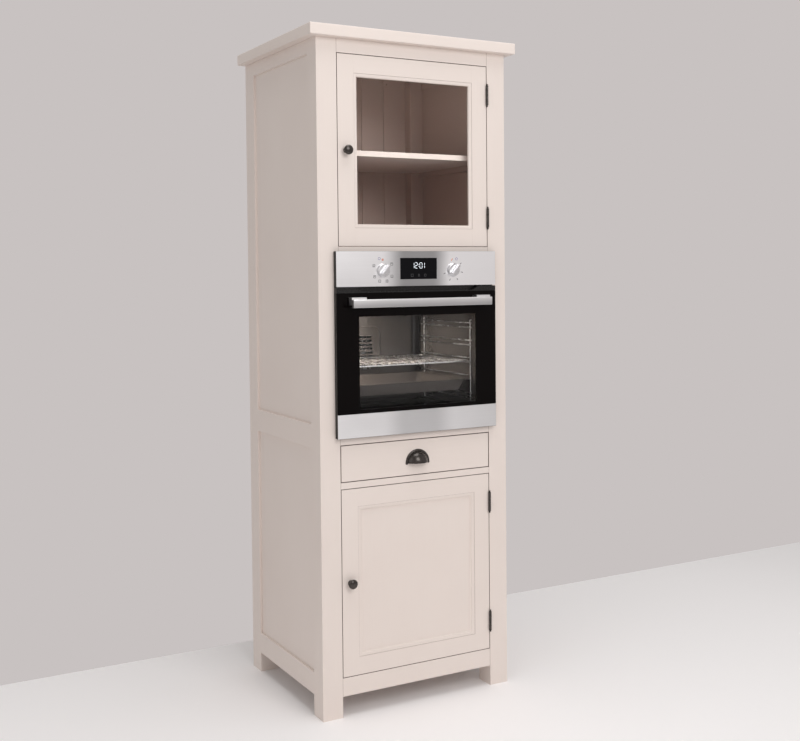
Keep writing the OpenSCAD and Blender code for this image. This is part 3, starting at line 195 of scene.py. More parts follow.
class Value:
    """A socket of a node tree, on which Python's operators add Math nodes."""

    __add__ = maths("ADD")
    __mul__ = maths("MULTIPLY")
    __sub__ = maths("SUBTRACT")
    __truediv__ = maths("DIVIDE")
    __gt__ = maths("GREATER_THAN")
    __lt__ = maths("LESS_THAN")
    __abs__ = maths("ABSOLUTE")
    power = maths("POWER")
    sine = maths("SINE")
    larger = maths("MAXIMUM")
    add_clamped = maths("ADD", clamp=True)

    def __init__(self, builder, socket):
        self.builder = builder
        self.socket = socket

    def __rsub__(self, other):
        return self * -1 + other

    def clamped(self):
        return self.add_clamped(0)


class Builder:
    """A node tree under construction."""

    def __init__(self, tree):
        self.tree = tree
        tree.nodes.clear()

    def node(self, kind, settings=None, sockets=None, out=0):
        """Adds a node: its settings first, then values or links of its sockets."""
        made = self.tree.nodes.new(kind)
        for name, setting in (settings or {}).items():
            setattr(made, name, setting)
        for name, given in (sockets or {}).items():
            socket = made.inputs[name]
            if isinstance(given, Value):
                self.tree.links.new(given.socket, socket)
            elif socket.type == "RGBA" and len(given) == 3:
                socket.default_value = (*given, 1)
            else:
                socket.default_value = given
        return None if out is None else Value(self, made.outputs[out])


class Finish(Builder):
    """A material, or the world, under construction."""

    def __init__(self, name, kind="materials"):
        self.name = name
        self.made = getattr(bpy.data, kind).new(name)
        self.made.use_nodes = True
        super().__init__(self.made.node_tree)

    @cached_property
    def place(self):
        return self.node("ShaderNodeTexCoord", out="Object")

    def grain(self):
        """The piece's own map, in metres: along its grain first, then across."""
        return self.node("ShaderNodeUVMap", {"uv_map": "grain"})

    def split(self, vector):
        parts = self.node("ShaderNodeSeparateXYZ", sockets={0: vector})
        return [Value(self, socket) for socket in parts.socket.node.outputs]

    def noise(self, scale, detail, rough=0.5, vector=None):
        return self.node("ShaderNodeTexNoise", sockets={
            "Vector": vector or self.place, "Scale": scale, "Detail": detail,
            "Roughness": rough}, out="Fac")

    def streaks(self, vector, scale, detail, rough=0.5):
        """Noise with a scale of its own on each axis."""
        stretched = self.node("ShaderNodeVectorMath", {"operation": "MULTIPLY"},
                              {0: vector, 1: scale})
        return self.noise(1, detail, rough, stretched)

    def cells(self, scale, out):
        return self.node("ShaderNodeTexVoronoi", sockets={"Vector": self.place, "Scale": scale},
                         out=out)

    def ramp(self, value, low, high, first, last):
        return self.node("ShaderNodeMapRange", {"interpolation_type": "SMOOTHSTEP"}, {
            "Value": value, "From Min": low, "From Max": high, "To Min": first, "To Max": last})

    def mix(self, first, second, factor):
        return self.node("ShaderNodeMix", {"data_type": "RGBA"}, {0: factor, 6: first, 7: second},
                         out=2)

    def mix_shader(self, factor, first, second):
        return self.node("ShaderNodeMixShader", sockets={0: factor, 1: first, 2: second})

    def bump(self, height, strength, distance):
        return self.node("ShaderNodeBump", sockets={
            "Height": height, "Strength": strength, "Distance": distance * MM})

    def done(self, shader, end="Material"):
        self.node("ShaderNodeOutput" + end, sockets={"Surface": shader}, out=None)
        return self.made

    def shader(self, **sockets):
        named = {name.replace("_", " "): given for name, given in sockets.items()}
        return self.node("ShaderNodeBsdfPrincipled", sockets=named)

    def coat(self, **sockets):
        """Ends the material with one plain surface."""
        return self.done(self.shader(**sockets))

    def clear(self, pane):
        """A pane that lets the lamps' light through."""
        shadow = self.node("ShaderNodeLightPath", out="Is Shadow Ray")
        return self.mix_shader(shadow, pane, self.node("ShaderNodeBsdfTransparent"))


# ---- Materials ----

def material(make):
    """Makes a material a single time for each name it is asked for, or for its function's name."""
    @cache
    def get(name=make.__name__):
        return make(Finish(name))
    return get


def between(value, low, high):
    return (value > low) * (value < high)


def round_about(node, x, y, z):
    """The narrow faces on both sides of the gap round a door or drawer front, where painted shade
    goes.
    """
    low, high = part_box(node)
    gap = 3.4 * MM
    skin = 0.7 * MM
    near = between(x, low.x - gap, high.x + gap) * between(z, low.z - gap, high.z + gap)
    leaf = (between(x, low.x + skin, high.x - skin)
            * between(z, low.z + 1.6 * skin, high.z - 1.6 * skin))
    return near * (1 - leaf) * between(y, low.y + 0.25 * MM, high.y - 1 * MM)


def in_room(x, y, z):
    """The inside of the glazed cupboard, where a darker beige stands in partly for its paint and
    partly for its shade, weaker on its shelf.
    """
    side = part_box("side_panels")[1].x - 8.5 * MM
    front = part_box("upper_door_frame")[1].y + 0.3 * MM
    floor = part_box("niche_boards")[1].z - 25 * MM
    low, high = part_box("display_shelf")
    skin = 0.1 * MM
    room = ((abs(x) < side) * between(y, front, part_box("rear_rails")[0].y)
            * between(z, floor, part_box("top_rail")[1].z))
    return room * (1 - between(z, low.z - skin, high.z + skin) * 0.78)


def seams(x, y, z):
    """Fine dark joint lines where the rails meet the posts, and painted shade lines round the
    mouldings.
    """
    joint = look("timber").joint
    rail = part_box("top_rail")[1]
    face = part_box("upper_door_frame")[0].y
    joint_and_shade_line = between(abs(x), rail.x - joint, rail.x + joint) * (z < rail.z) * (y < face + 1.5 * MM)
    # Painted shade round the mouldings.
    line = 0.6 * MM
    for node in ("upper_door_moulding", "lower_door_moulding"):
        low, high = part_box(node)
        inside, around = ((abs(x) < high.x + grow) * between(z, low.z - grow, high.z + grow)
                          for grow in (-line, line))
        joint_and_shade_line = joint_and_shade_line.larger(around * (1 - inside) * between(y, face + 0.1 * MM, high.y))
    return joint_and_shade_line


@material
def painted_timber(finish):
    """Cream paint with brush marks along the grain; on what lies in the glazed cupboard, a beige
    that partly stands in for its shade and darkens towards the bottom as painted shade; painted
    shade in the gaps and round the mouldings.
    """
    timber = look("timber")
    grain = finish.grain()
    brush = finish.streaks(grain, (5, 240, 1), 4, 0.6)
    pores = finish.streaks(grain, (40, 900, 1), 2)
    cloud = finish.noise(2.6, 3, 0.55)
    tone = (cloud * 0.7 + brush * 0.3).clamped()
    outside = finish.mix(timber.paint_shade, timber.paint, tone)
    x, y, z = finish.split(finish.place)
    low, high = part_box("upper_door_frame")
    # Painted shade: the cupboard's beige darkens towards the bottom, and the shelf takes little of
    # it.
    height = finish.ramp(z, low.z + 220 * MM, high.z, 0, 0.95)
    inside = finish.mix(timber.room_shade, timber.room_paint, (tone * 0.3 + height).clamped())
    painted = finish.mix(outside, inside, in_room(x, y, z))
    # Painted shade in the gaps round the doors and the drawer front.
    for node in ("upper_door_frame", "lower_door_frame", "drawer_front"):
        painted = finish.mix(painted, timber.gap, round_about(node, x, y, z) * 0.95)
    # Dark joints, and painted shade round the mouldings.
    painted = finish.mix(painted, timber.gap, seams(x, y, z) * 0.75)
    return finish.coat(Base_Color=painted, Roughness=brush * 0.16 + 0.42,
                       Normal=finish.bump(brush * 0.7 + pores * 0.3, 0.22, 0.5))


@material
def bare_timber(finish):
    """Pine with year rings along its length."""
    timber = look("timber")
    grain = finish.grain()
    bend = finish.streaks(grain, (1.4, 9, 1), 2)
    across = finish.split(grain)[1]
    rings = ((across * 420 + bend * 26).sine() * 0.5 + 0.5).power(2.2)
    pores = finish.streaks(grain, (30, 1100, 1), 3)
    tone = (rings * 0.75 + pores * 0.25).clamped()
    return finish.coat(Base_Color=finish.mix(timber.pine, timber.pine_ring, tone),
                       Roughness=pores * 0.2 + 0.5, Normal=finish.bump(pores, 0.2, 0.4))


@material
def clear_glass(finish):
    """Float glass with a trace of unevenness."""
    ripple = finish.noise(6, 2)
    pane = finish.shader(Base_Color=(0.985, 0.995, 0.99), Transmission_Weight=1.0, IOR=1.22,
                         Roughness=ripple * 0.012, Normal=finish.bump(ripple, 0.04, 0.6))
    return finish.done(finish.clear(pane))


# The clear part of the oven door's glass, measured from the door sheet's foot
WINDOW_HALF = 218.5 * MM
WINDOW_RISE = 89 * MM
WINDOW_HEIGHT = 297 * MM


@material
def oven_glass(finish):
    """The oven door's glass: clear in the middle and printed black round its edge."""
    x, _, z = finish.split(finish.place)
    dust = finish.noise(160, 3)
    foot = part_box("oven_door_frame")[0].z + WINDOW_RISE
    window = (abs(x) < WINDOW_HALF) * between(z, foot, foot + WINDOW_HEIGHT)
    black = finish.shader(Base_Color=look("oven").print, Roughness=dust * 0.05 + 0.05, IOR=1.17)
    pane = finish.shader(Base_Color=(1.0, 1.0, 1.0), Transmission_Weight=1.0, IOR=1.12,
                         Roughness=0.0)
    return finish.done(finish.mix_shader(window, black, finish.clear(pane)))


@material
def display_glass(finish):
    """Black glass of the clock."""
    dust = finish.noise(220, 3)
    return finish.coat(Base_Color=(0.005, 0.005, 0.006), IOR=1.17, Roughness=dust * 0.06 + 0.05)


@material
def clock_figures(finish):
    """The clock's lit figures, a little uneven as seen through the glass."""
    glow = finish.noise(900, 2)
    lit = finish.mix((0, 0, 0), look("oven").figures, glow * 0.3 + 0.75)
    return finish.coat(Base_Color=lit, Roughness=0.4, Emission_Color=lit, Emission_Strength=0.9)


@material
def touch_marks(finish):
    """Dim marks of the clock's touch fields."""
    worn = finish.noise(700, 2)
    grey = finish.mix((0.03, 0.03, 0.032), (0.1, 0.1, 0.105), worn)
    return finish.coat(Base_Color=grey, Roughness=0.3)


INKS = {"dark_print": srgb(52, 50, 55), "orange_print": srgb(230, 120, 50),
        "violet_print": srgb(110, 90, 165)}


@material
def printed(finish):
    """Ink printed on the steel."""
    tint = INKS[finish.name]
    worn = finish.noise(600, 2)
    faded = finish.mix(tint, tuple(part * 0.9 + 0.04 for part in tint), worn)
    return finish.coat(Base_Color=faded, Roughness=0.45)


@material
def steel_front(finish):
    """Brushed steel with painted light: a darker band in the middle as a painted reflection,
    painted shade down the handle, blackened outer edges as painted shade, and a painted gradient
    from left to right.
    """
    x, y, z = finish.split(finish.place)
    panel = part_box("control_panel")
    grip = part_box("oven_handle")
    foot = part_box("door_bottom_strip")[0].z
    fine = finish.streaks(finish.place, (6, 900, 1500), 3, 0.6)
    wide = finish.streaks(finish.place, (4, 4, 9), 2)
    # Painted reflection: a darker band across the middle of the panel and, more faintly, of the
    # strip.
    bare = finish.ramp(abs(x), 50 * MM, 140 * MM, 0, 1)
    painted_reflection_zone = 1 - (1 - bare) * ((z > panel[0].z) * 0.37 + 0.24)
    # Painted shade: the handle darkens towards its foot.
    shade = finish.ramp(z, grip[0].z, grip[1].z, 0.54, 1.05)
    painted_reflection_zone = painted_reflection_zone + (y < grip[1].y - 1.2 * MM) * (shade - painted_reflection_zone)
    # Painted shade: the outer sides, the top edge and the foot of the steel are blackened.
    rim = (abs(x) > panel[1].x - 0.35 * MM).larger(z > panel[1].z - 0.35 * MM)
    rim = rim.larger(z < foot + 0.6 * MM)
    # Painted light: the panel grows lighter from left to right, while the strip and the handle grow
    # a little darker towards the right.
    across = (finish.ramp(x, -300 * MM, 300 * MM, 0.8, 1.04)
              - (z < panel[0].z) * (x * 0.63 + 0.137))
    tone = ((fine * 0.5 + wide * 0.5) * 0.2 + across) * painted_reflection_zone * (1 - rim * 0.95)
    return finish.coat(
        Base_Color=finish.mix((0, 0, 0), look("oven").steel, tone), Metallic=1.0,
        Roughness=fine * 0.12 + wide * 0.08 + 0.26, Normal=finish.bump(fine, 0.16, 0.2))


# Tint, roughness, how much it varies, scale of the fine grain and strength of its bump
METALS = {"steel_knob": (srgb(226, 226, 228), 0.2, 0.05, 500, 0.05),
          "rack_chrome": (srgb(246, 246, 249), 0.16, 0.1, 300, 0.04),
          "element_steel": (srgb(94, 88, 84), 0.3, 0.2, 240, 0.1)}


@material
def metal(finish):
    """Bright metal with a fine grain."""
    tint, roughness, spread, grain, strength = METALS[finish.name]
    fine = finish.streaks(finish.place, (grain, grain, grain), 3, 0.6)
    wide = finish.noise(7, 2)
    dull = finish.mix(dimmed(tint, 0.84), tint, fine * 0.55 + wide * 0.45)
    return finish.coat(
        Base_Color=dull, Metallic=1.0, Roughness=fine * 0.12 + wide * spread + roughness,
        Normal=finish.bump(fine, strength, 0.2))


@material
def zinc_steel(finish):
    """Zinc-plated sheet with its soft spangle."""
    zinc = look("hardware").zinc
    flake = finish.split(finish.cells(90.0, "Color"))[0]
    stain = finish.noise(5, 3)
    dull = finish.mix(dimmed(zinc, 0.72), zinc, flake * 0.4 + stain * 0.6)
    return finish.coat(Base_Color=dull, Metallic=1.0,
                       Roughness=flake * 0.12 + stain * 0.1 + 0.32)


@material
def black_iron(finish):
    """Blackened iron, slightly uneven, rubbed a little where it is touched."""
    iron = look("hardware").iron
    skin = finish.noise(420, 3)
    rub = finish.noise(60, 2)
    tone = finish.mix(dimmed(iron, 0.55), dimmed(iron, 1.9), rub)
    return finish.coat(Base_Color=tone, Metallic=0.8, Roughness=rub * 0.14 + 0.2,
                       Coat_Weight=0.35, Coat_Roughness=0.12,
                       Normal=finish.bump(skin, 0.14, 0.3))


# Dark and light tint, scale and detail of the skin, IOR, roughness and how much it varies, and
# strength and depth of the bump
SKINS = {
    "black_metal": ((0.006, 0.0055, 0.0055), (0.016, 0.015, 0.015),
                    700, 2, 1.4, 0.2, 0.15, 0.06, 0.1),
    "seal_rubber": ((0.012, 0.012, 0.012), (0.035, 0.034, 0.033),
                    380, 3, 1.5, 0.6, 0.2, 0.25, 0.3),
    "switch_plastic": ((0.05, 0.05, 0.055), (0.09, 0.09, 0.095),
                       900, 2, 1.5, 0.4, 0.15, 0.12, 0.1)}


@material
def skinned(finish):
    """Lacquered sheet, rubber or plastic with a fine skin."""
    dark, light, scale, detail, ior, roughness, spread, strength, depth = SKINS[finish.name]
    skin = finish.noise(scale, detail)
    return finish.coat(Base_Color=finish.mix(dark, light, skin), IOR=ior,
                       Roughness=skin * spread + roughness,
                       Normal=finish.bump(skin, strength, depth))


@material
def enamel(finish):
    """Glossy enamel with pale flecks and a slightly wavy skin."""
    oven = look("oven")
    tint = oven.enamel if finish.name == "enamel" else oven.tray
    spots = finish.cells(420.0, "Distance")
    fleck = (spots < 0.16) * (finish.noise(130, 1) > 0.52)
    wave = finish.noise(26, 2)
    return finish.coat(
        Base_Color=finish.mix(tint, oven.fleck, fleck), Roughness=wave * 0.16 + 0.1,
        Coat_Weight=0.6, Coat_Roughness=0.06, Normal=finish.bump(wave, 0.22, 1.6))


@material
def lamp_glass(finish):
    """The oven lamp's dome, lit."""
    ribs = finish.noise(240, 1)
    glow = finish.mix(srgb(255, 234, 208), srgb(255, 246, 236), ribs)
    return finish.coat(Base_Color=glow, Roughness=0.2, Emission_Color=glow,
                       Emission_Strength=look("oven").lamp)


# ---- Meshes ----

STEEPEST = math.radians(35)


def merged(node):
    """The CAD node's shape with its triangles joined into whole faces."""
    shape = bmesh.new()
    shape.from_mesh(NODES[node].data)
    bmesh.ops.remove_doubles(shape, verts=shape.verts, dist=0.01 * MM)
    bmesh.ops.dissolve_limit(shape, angle_limit=math.radians(0.4), verts=shape.verts,
                             edges=shape.edges)
    shape.normal_update()
    return shape


def join(shape, other):
    """Adds another shape to a shape."""
    carrier = bpy.data.meshes.new("carrier")
    other.to_mesh(carrier)
    other.free()
    shape.from_mesh(carrier)
    bpy.data.meshes.remove(carrier)


def cut(shape, places):
    """Cuts a shape into closed members at planes across the X axis."""
    for place in places:
        halves = []
        for sign in (1, -1):
            half = shape.copy()
            bmesh.ops.bisect_plane(
                half, geom=half.verts[:] + half.edges[:] + half.faces[:], dist=0.005 * MM,
                plane_co=(place, 0, 0), plane_no=(sign, 0, 0), clear_outer=True)
            level = [face for face in half.faces
                     if all(abs(vert.co.x - place) < 0.01 * MM for vert in face.verts)]
            bmesh.ops.delete(half, geom=level, context="FACES")
            rim = [edge for edge in half.edges if len(edge.link_faces) == 1]
            bmesh.ops.triangle_fill(half, use_beauty=True, use_dissolve=True, edges=rim,
                                    normal=(sign, 0, 0))
            halves.append(half)
        shape.clear()
        for half in halves:
            join(shape, half)
    bmesh.ops.recalc_face_normals(shape, faces=shape.faces)


def soften(shape, width, shortest=0.0, where=None, segments=2):
    """Rounds the steep edges, or those of them that where picks."""
    edges = [edge for edge in shape.edges
             if len(edge.link_faces) == 2 and edge.calc_length() > shortest
             and edge.calc_face_angle(0) > STEEPEST and (where is None or where(edge))]
    bmesh.ops.bevel(shape, geom=edges, offset=width, offset_type="OFFSET", segments=segments,
                    profile=0.6, affect="EDGES", clamp_overlap=True)


def parts_of(shape):
    """The shape's separate solids, as lists of faces."""
    left = set(shape.faces)
    while left:
        part = [left.pop()]
        for face in part:
            near = {other for edge in face.edges for other in edge.link_faces} & left
            left -= near
            part.extend(near)
        yield part


def corners(faces):
    """Lowest and highest corner of the box round some faces."""
    points = [vert.co for face in faces for vert in face.verts]
    return [[pick(point[i] for point in points) for i in range(3)] for pick in (min, max)]


def middle_of(faces):
    total = Vector()
    for face in faces:
        total += face.calc_center_median()
    return [round(part, 4) for part in total / len(faces)]


def map_grain(shape):
    """Lays a map in metres on each solid: along its longest side first, at a place of its own."""
    chance = random.Random(7)
    layer = shape.loops.layers.uv.new("grain")
    shape.normal_update()
    for part in sorted(parts_of(shape), key=middle_of):
        size = [high - low for low, high in zip(*corners(part))]
        along = size.index(max(size))
        start = chance.uniform(0, 40), chance.uniform(0, 40)
        for face in part:
            facing = max(range(3), key=lambda i: abs(face.normal[i]))
            axes = [i for i in range(3) if i != facing]
            first = along if along in axes else axes[0]
            second = next(i for i in axes if i != first)
            for loop in face.loops:
                loop[layer].uv = loop.vert.co[first] + start[0], loop.vert.co[second] + start[1]


def loft(sections, closed=True):
    """Skins a row of sections, each a ring of points. Closed, the last joins the first."""
    shape = bmesh.new()
    rows = [[shape.verts.new(point) for point in section] for section in sections]
    for near, far in zip(rows, rows[1:] + (rows[:1] if closed else [])):
        for i in range(len(near)):
            j = (i + 1) % len(near)
            shape.faces.new((near[i], near[j], far[j], far[i]))
    if not closed:
        shape.faces.new(rows[0])
        shape.faces.new(rows[-1])
    bmesh.ops.recalc_face_normals(shape, faces=shape.faces)
    return shape


def spun(profile, centre, axis, steps):
    """Turns a profile of (radius, distance) pairs in millimetres about an axis through centre."""
    axis = Vector(axis)
    side = axis.orthogonal().normalized()
    shape = bmesh.new()
    points = [shape.verts.new(Vector(centre) + side * radius * MM + axis * reach * MM)
              for radius, reach in profile]
    edges = [shape.edges.new(pair) for pair in zip(points, points[1:])]
    bmesh.ops.spin(shape, geom=points + edges, cent=centre, axis=axis, angle=math.tau, steps=steps,
                   use_merge=True)
    bmesh.ops.remove_doubles(shape, verts=shape.verts, dist=0.002 * MM)
    bmesh.ops.recalc_face_normals(shape, faces=shape.faces)
    return shape


def way(degrees):
    """The flat direction at an angle."""
    return Vector((math.cos(math.radians(degrees)), math.sin(math.radians(degrees))))


def tube(path, radius, loop=False, sides=10):
    """A round rod along a path of points that lies in one plane or bends gently."""
    path = [Vector(point) for point in path]
    sections = []
    across = None
    for i, point in enumerate(path):
        before = path[i - 1] if loop or i else point
        after = path[(i + 1) % len(path)] if loop or i < len(path) - 1 else point
        along = (after - before).normalized()
        if across is None:
            across = along.orthogonal().normalized()
        across = (across - along * across.dot(along)).normalized()
        other = along.cross(across)
        turns = [way(360 * k / sides) for k in range(sides)]
        sections.append([point + (across * turn.x + other * turn.y) * radius for turn in turns])
    return loft(sections, closed=loop)


def outline(low_a, high_a, low_b, high_b, radius, steps=7):
    """(a, b) points of a rectangle with round corners."""
    centres = ((high_a - radius, high_b - radius), (low_a + radius, high_b - radius),
               (low_a + radius, low_b + radius), (high_a - radius, low_b + radius))
    return [Vector(centre) + way(90 * quarter + 90 * k / (steps - 1)) * radius
            for quarter, centre in enumerate(centres) for k in range(steps)]


def hoop(node, across, level, inset, radius, share=1.0):
    """A CAD node's outline across an axis: round corners and inset in millimetres, then shrunk."""
    low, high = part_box(node)
    second = {"y": 2, "z": 1}[across]
    centre = (low[second] + high[second]) / 2
    inset *= MM
    points = []
    for a, b in outline(low.x + inset, high.x - inset, low[second] + inset, high[second] - inset,
                        radius * MM):
        points.append(Vector((a * share, level, level)))
        points[-1][second] = centre + (b - centre) * share
    return points


# ---- Pieces ----

def linked(name, data):
    made = bpy.data.objects.new(name, data)
    bpy.context.scene.collection.objects.link(made)
    return made


def mesh_of(name, shape):
    mesh = bpy.data.meshes.new(name)
    shape.to_mesh(mesh)
    shape.free()
    return mesh


def plain(made):
    """Gives an object the mesh that its modifiers make, and removes them."""
    depsgraph = bpy.context.evaluated_depsgraph_get()
    mesh = bpy.data.meshes.new_from_object(made.evaluated_get(depsgraph), depsgraph=depsgraph)
    made.modifiers.clear()
    made.data = mesh


def piece(name, shape, finish, rides, stands_for=(), slot=None, smooth=40, even=True):
    """Turns a shape into a finished piece that rides on a body."""
    map_grain(shape)
    mesh = mesh_of(name, shape)
    mesh.materials.append(finish)
    made = linked(name, mesh)
    mesh.shade_smooth()
    mesh.set_sharp_from_angle(angle=math.radians(smooth))
    if even:
        level = made.modifiers.new("Even shading", "WEIGHTED_NORMAL")
        level.keep_sharp = True
        plain(made)
    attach(made, rides)
    slot or finish.name.split(".")[0]
    if stands_for:
        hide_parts(*stands_for)


def body_of(node):
    return NODES[node]["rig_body"]


def stand_in(node, shape, finish, **others):
    """Replaces a CAD node with a shape."""
    piece(node + "_piece", shape, finish, body_of(node), [node], **others)


def dressed(nodes, finish, width, shortest=0.0, cuts=(), **others):
    """Replaces CAD nodes with copies whose edges are rounded, cut first into their members."""
    for node in nodes.split():
        shape = merged(node)
        if cuts:
            cut(shape, cuts)
        soften(shape, width, shortest)
        stand_in(node, shape, finish, **others)


def middle(node):
    low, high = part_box(node)
    return (low + high) / 2


# ---- Geometry Nodes ----

class Steps(Builder):
    """A Geometry Nodes tree under construction."""

    def __init__(self, name, **inputs):
        super().__init__(bpy.data.node_groups.new(name, "GeometryNodeTree"))
        sockets = [("OUTPUT", "Geometry", "Geometry"), ("INPUT", "Geometry", "Geometry")]
        for side, socket, kind in sockets + [("INPUT", *pair) for pair in inputs.items()]:
            self.tree.interface.new_socket(socket, in_out=side, socket_type="NodeSocket" + kind)
        self.entry = self.tree.nodes.new("NodeGroupInput")

    def input(self, name):
        return Value(self, self.entry.outputs[name])

    def line(self, offset):
        return self.node("GeometryNodeMeshLine", {"mode": "OFFSET"},
                         {"Count": self.input("Count"), "Offset": offset})

    def done(self, points, **turn):
        """Ends the tree: the shape at each point, as real meshes with the material set."""
        placed = self.node("GeometryNodeInstanceOnPoints", sockets={
            "Points": points, "Instance": self.input("Geometry"), **turn})
        real = self.node("GeometryNodeRealizeInstances", sockets={0: placed})
        coated = self.node("GeometryNodeSetMaterial", sockets={
            "Geometry": real, "Material": self.input("Material")})
        self.node("NodeGroupOutput", sockets={0: coated}, out=None)
        return self.tree


@cache
def row_steps():
    """Repeats a shape along a straight line."""
    steps = Steps("Row", Count="Int", Step="Vector", Material="Material")
    return steps.done(steps.line(steps.input("Step")))


@cache
def circle_steps():
    """Repeats a shape round an axis through a centre, along Y."""
    steps = Steps("Circle", Count="Int", Centre="Vector", Material="Material")
    index = steps.node("GeometryNodeInputIndex")
    turn = index / steps.input("Count") * math.tau
    home = steps.node("GeometryNodeSetPosition", sockets={
        "Geometry": steps.line((0, 0, 0)), "Position": steps.input("Centre")})
    return steps.done(home, Rotation=steps.node("ShaderNodeCombineXYZ", sockets={"Y": turn}))


def repeated(name, shape, tree, finish, rides, stands_for=(), **inputs):
    """Repeats a small shape with one of the trees and makes the result a piece."""
    seed = linked(name + "_seed", mesh_of(name, shape))
    modifier = seed.modifiers.new("Repeat", "NODES")
    modifier.node_group = tree
    inputs["Material"] = finish
    for item in tree.interface.items_tree:
        if item.in_out == "INPUT" and item.name in inputs:
            modifier[item.identifier] = inputs[item.name]
    plain(seed)
    whole = bmesh.new()
    whole.from_mesh(seed.data)
    bpy.data.objects.remove(seed)
    piece(name, whole, finish, rides, stands_for)


# ---- Cabinet ----

# Edges shorter than these stay sharp
TINY = 3 * MM
SMALL = 8 * MM
MEDIUM = 25 * MM

BACK_BOARDS = 6
DRAWER_SIDE = 15 * MM


class OVENHOUSING_OT_cabinet_frame(bpy.types.Operator):
    """Make the top slab, the posts and the rails"""
    bl_idname = "ovenhousing.cabinet_frame"
    bl_label = "Cabinet Frame"

    def execute(self, context):
        edge = look("timber").edge
        dressed("top_slab", painted_timber(), 1.8 * edge, MEDIUM)
        dressed("front_posts rear_posts top_rail middle_rails bottom_rail side_rails rear_rails",
                painted_timber(), 0.6 * edge, MEDIUM)
        return {"FINISHED"}


class OVENHOUSING_OT_cabinet_boards(bpy.types.Operator):
    """Make the panels, the backs, the boards, the shelf and their bearers"""
    bl_idname = "ovenhousing.cabinet_boards"
    bl_label = "Panels and Boards"

    def execute(self, context):
        edge = look("timber").edge
        low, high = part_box("back_panels")
        width = (high.x - low.x) / BACK_BOARDS
        lines = [low.x + i * width for i in range(1, BACK_BOARDS)]
        dressed("back_panels", painted_timber(), 0.4 * edge, MEDIUM, lines)
        dressed("side_panels niche_boards bottom_board display_shelf side_bearers",
                painted_timber(), 0.5 * edge, MEDIUM)
        return {"FINISHED"}


def framed_door(level):
    """The stiles, rails and moulding of the upper or the lower door."""
    edge = look("timber").edge
    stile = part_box(level + "_door_moulding")[1].x
    dressed(level + "_door_frame", painted_timber(), 0.8 * edge, MEDIUM, (-stile, stile))
    dressed(level + "_door_moulding", painted_timber(), 0.3 * edge, MEDIUM, smooth=32)


class OVENHOUSING_OT_glazed_door(bpy.types.Operator):
    """Make the upper door with its glass"""
    bl_idname = "ovenhousing.glazed_door"
    bl_label = "Glazed Door"

    def execute(self, context):
        framed_door("upper")
        dressed("glass_retainer", painted_timber(), 0.3 * look("timber").edge, MEDIUM,
                smooth=20)
        dressed("upper_door_glass", clear_glass(), 0.3 * MM)
        return {"FINISHED"}


class OVENHOUSING_OT_panelled_door(bpy.types.Operator):
    """Make the lower door with its panel"""
    bl_idname = "ovenhousing.panelled_door"
    bl_label = "Panelled Door"

    def execute(self, context):
        framed_door("lower")
        dressed("lower_door_panel", painted_timber(), 0.4 * look("timber").edge)
        return {"FINISHED"}


class OVENHOUSING_OT_drawer(bpy.types.Operator):
    """Make the drawer with its runners"""
    bl_idname = "ovenhousing.drawer"
    bl_label = "Drawer"

    def execute(self, context):
        edge = look("timber").edge
        dressed("drawer_front", painted_timber(), edge)
        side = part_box("drawer_box")[1].x - DRAWER_SIDE
        dressed("drawer_box", bare_timber(), 0.6 * edge, MEDIUM, (-side, side))
        dressed("drawer_bottom", bare_timber(), 0.3 * edge)
        dressed("drawer_runners drawer_slides", zinc_steel(), 0.25 * MM, SMALL)
        return {"FINISHED"}


# ---- Ironwork ----

# (radius, distance) as shares of the whole
KNOB_PROFILE = [
    (0, 0), (0.60, 0), (0.64, 0.03), (0.64, 0.07), (0.60, 0.10), (0.47, 0.13), (0.38, 0.20),
    (0.34, 0.32), (0.36, 0.44), (0.46, 0.52), (0.70, 0.56), (0.90, 0.60), (0.985, 0.66),
    (1.0, 0.73), (0.975, 0.80), (0.90, 0.855), (0.84, 0.865), (0.81, 0.885), (0.70, 0.93),
    (0.50, 0.967), (0.25, 0.99), (0, 1)]

FINIAL_PROFILE = [
    (0, -0.5), (0.30, -0.5), (0.80, -0.02), (0.86, 0.04), (0.86, 0.14), (0.76, 0.20), (0.50, 0.24),
    (0.44, 0.32), (0.52, 0.40), (0.74, 0.47), (0.80, 0.56), (0.72, 0.68), (0.46, 0.82),
    (0.24, 0.93), (0, 1)]


def turned(profile, centre, axis, radius, reach, steps):
    """Turns a profile of shares that is this wide and this long in millimetres."""
    return spun([(radius * share, reach * along) for share, along in profile], centre, axis, steps)


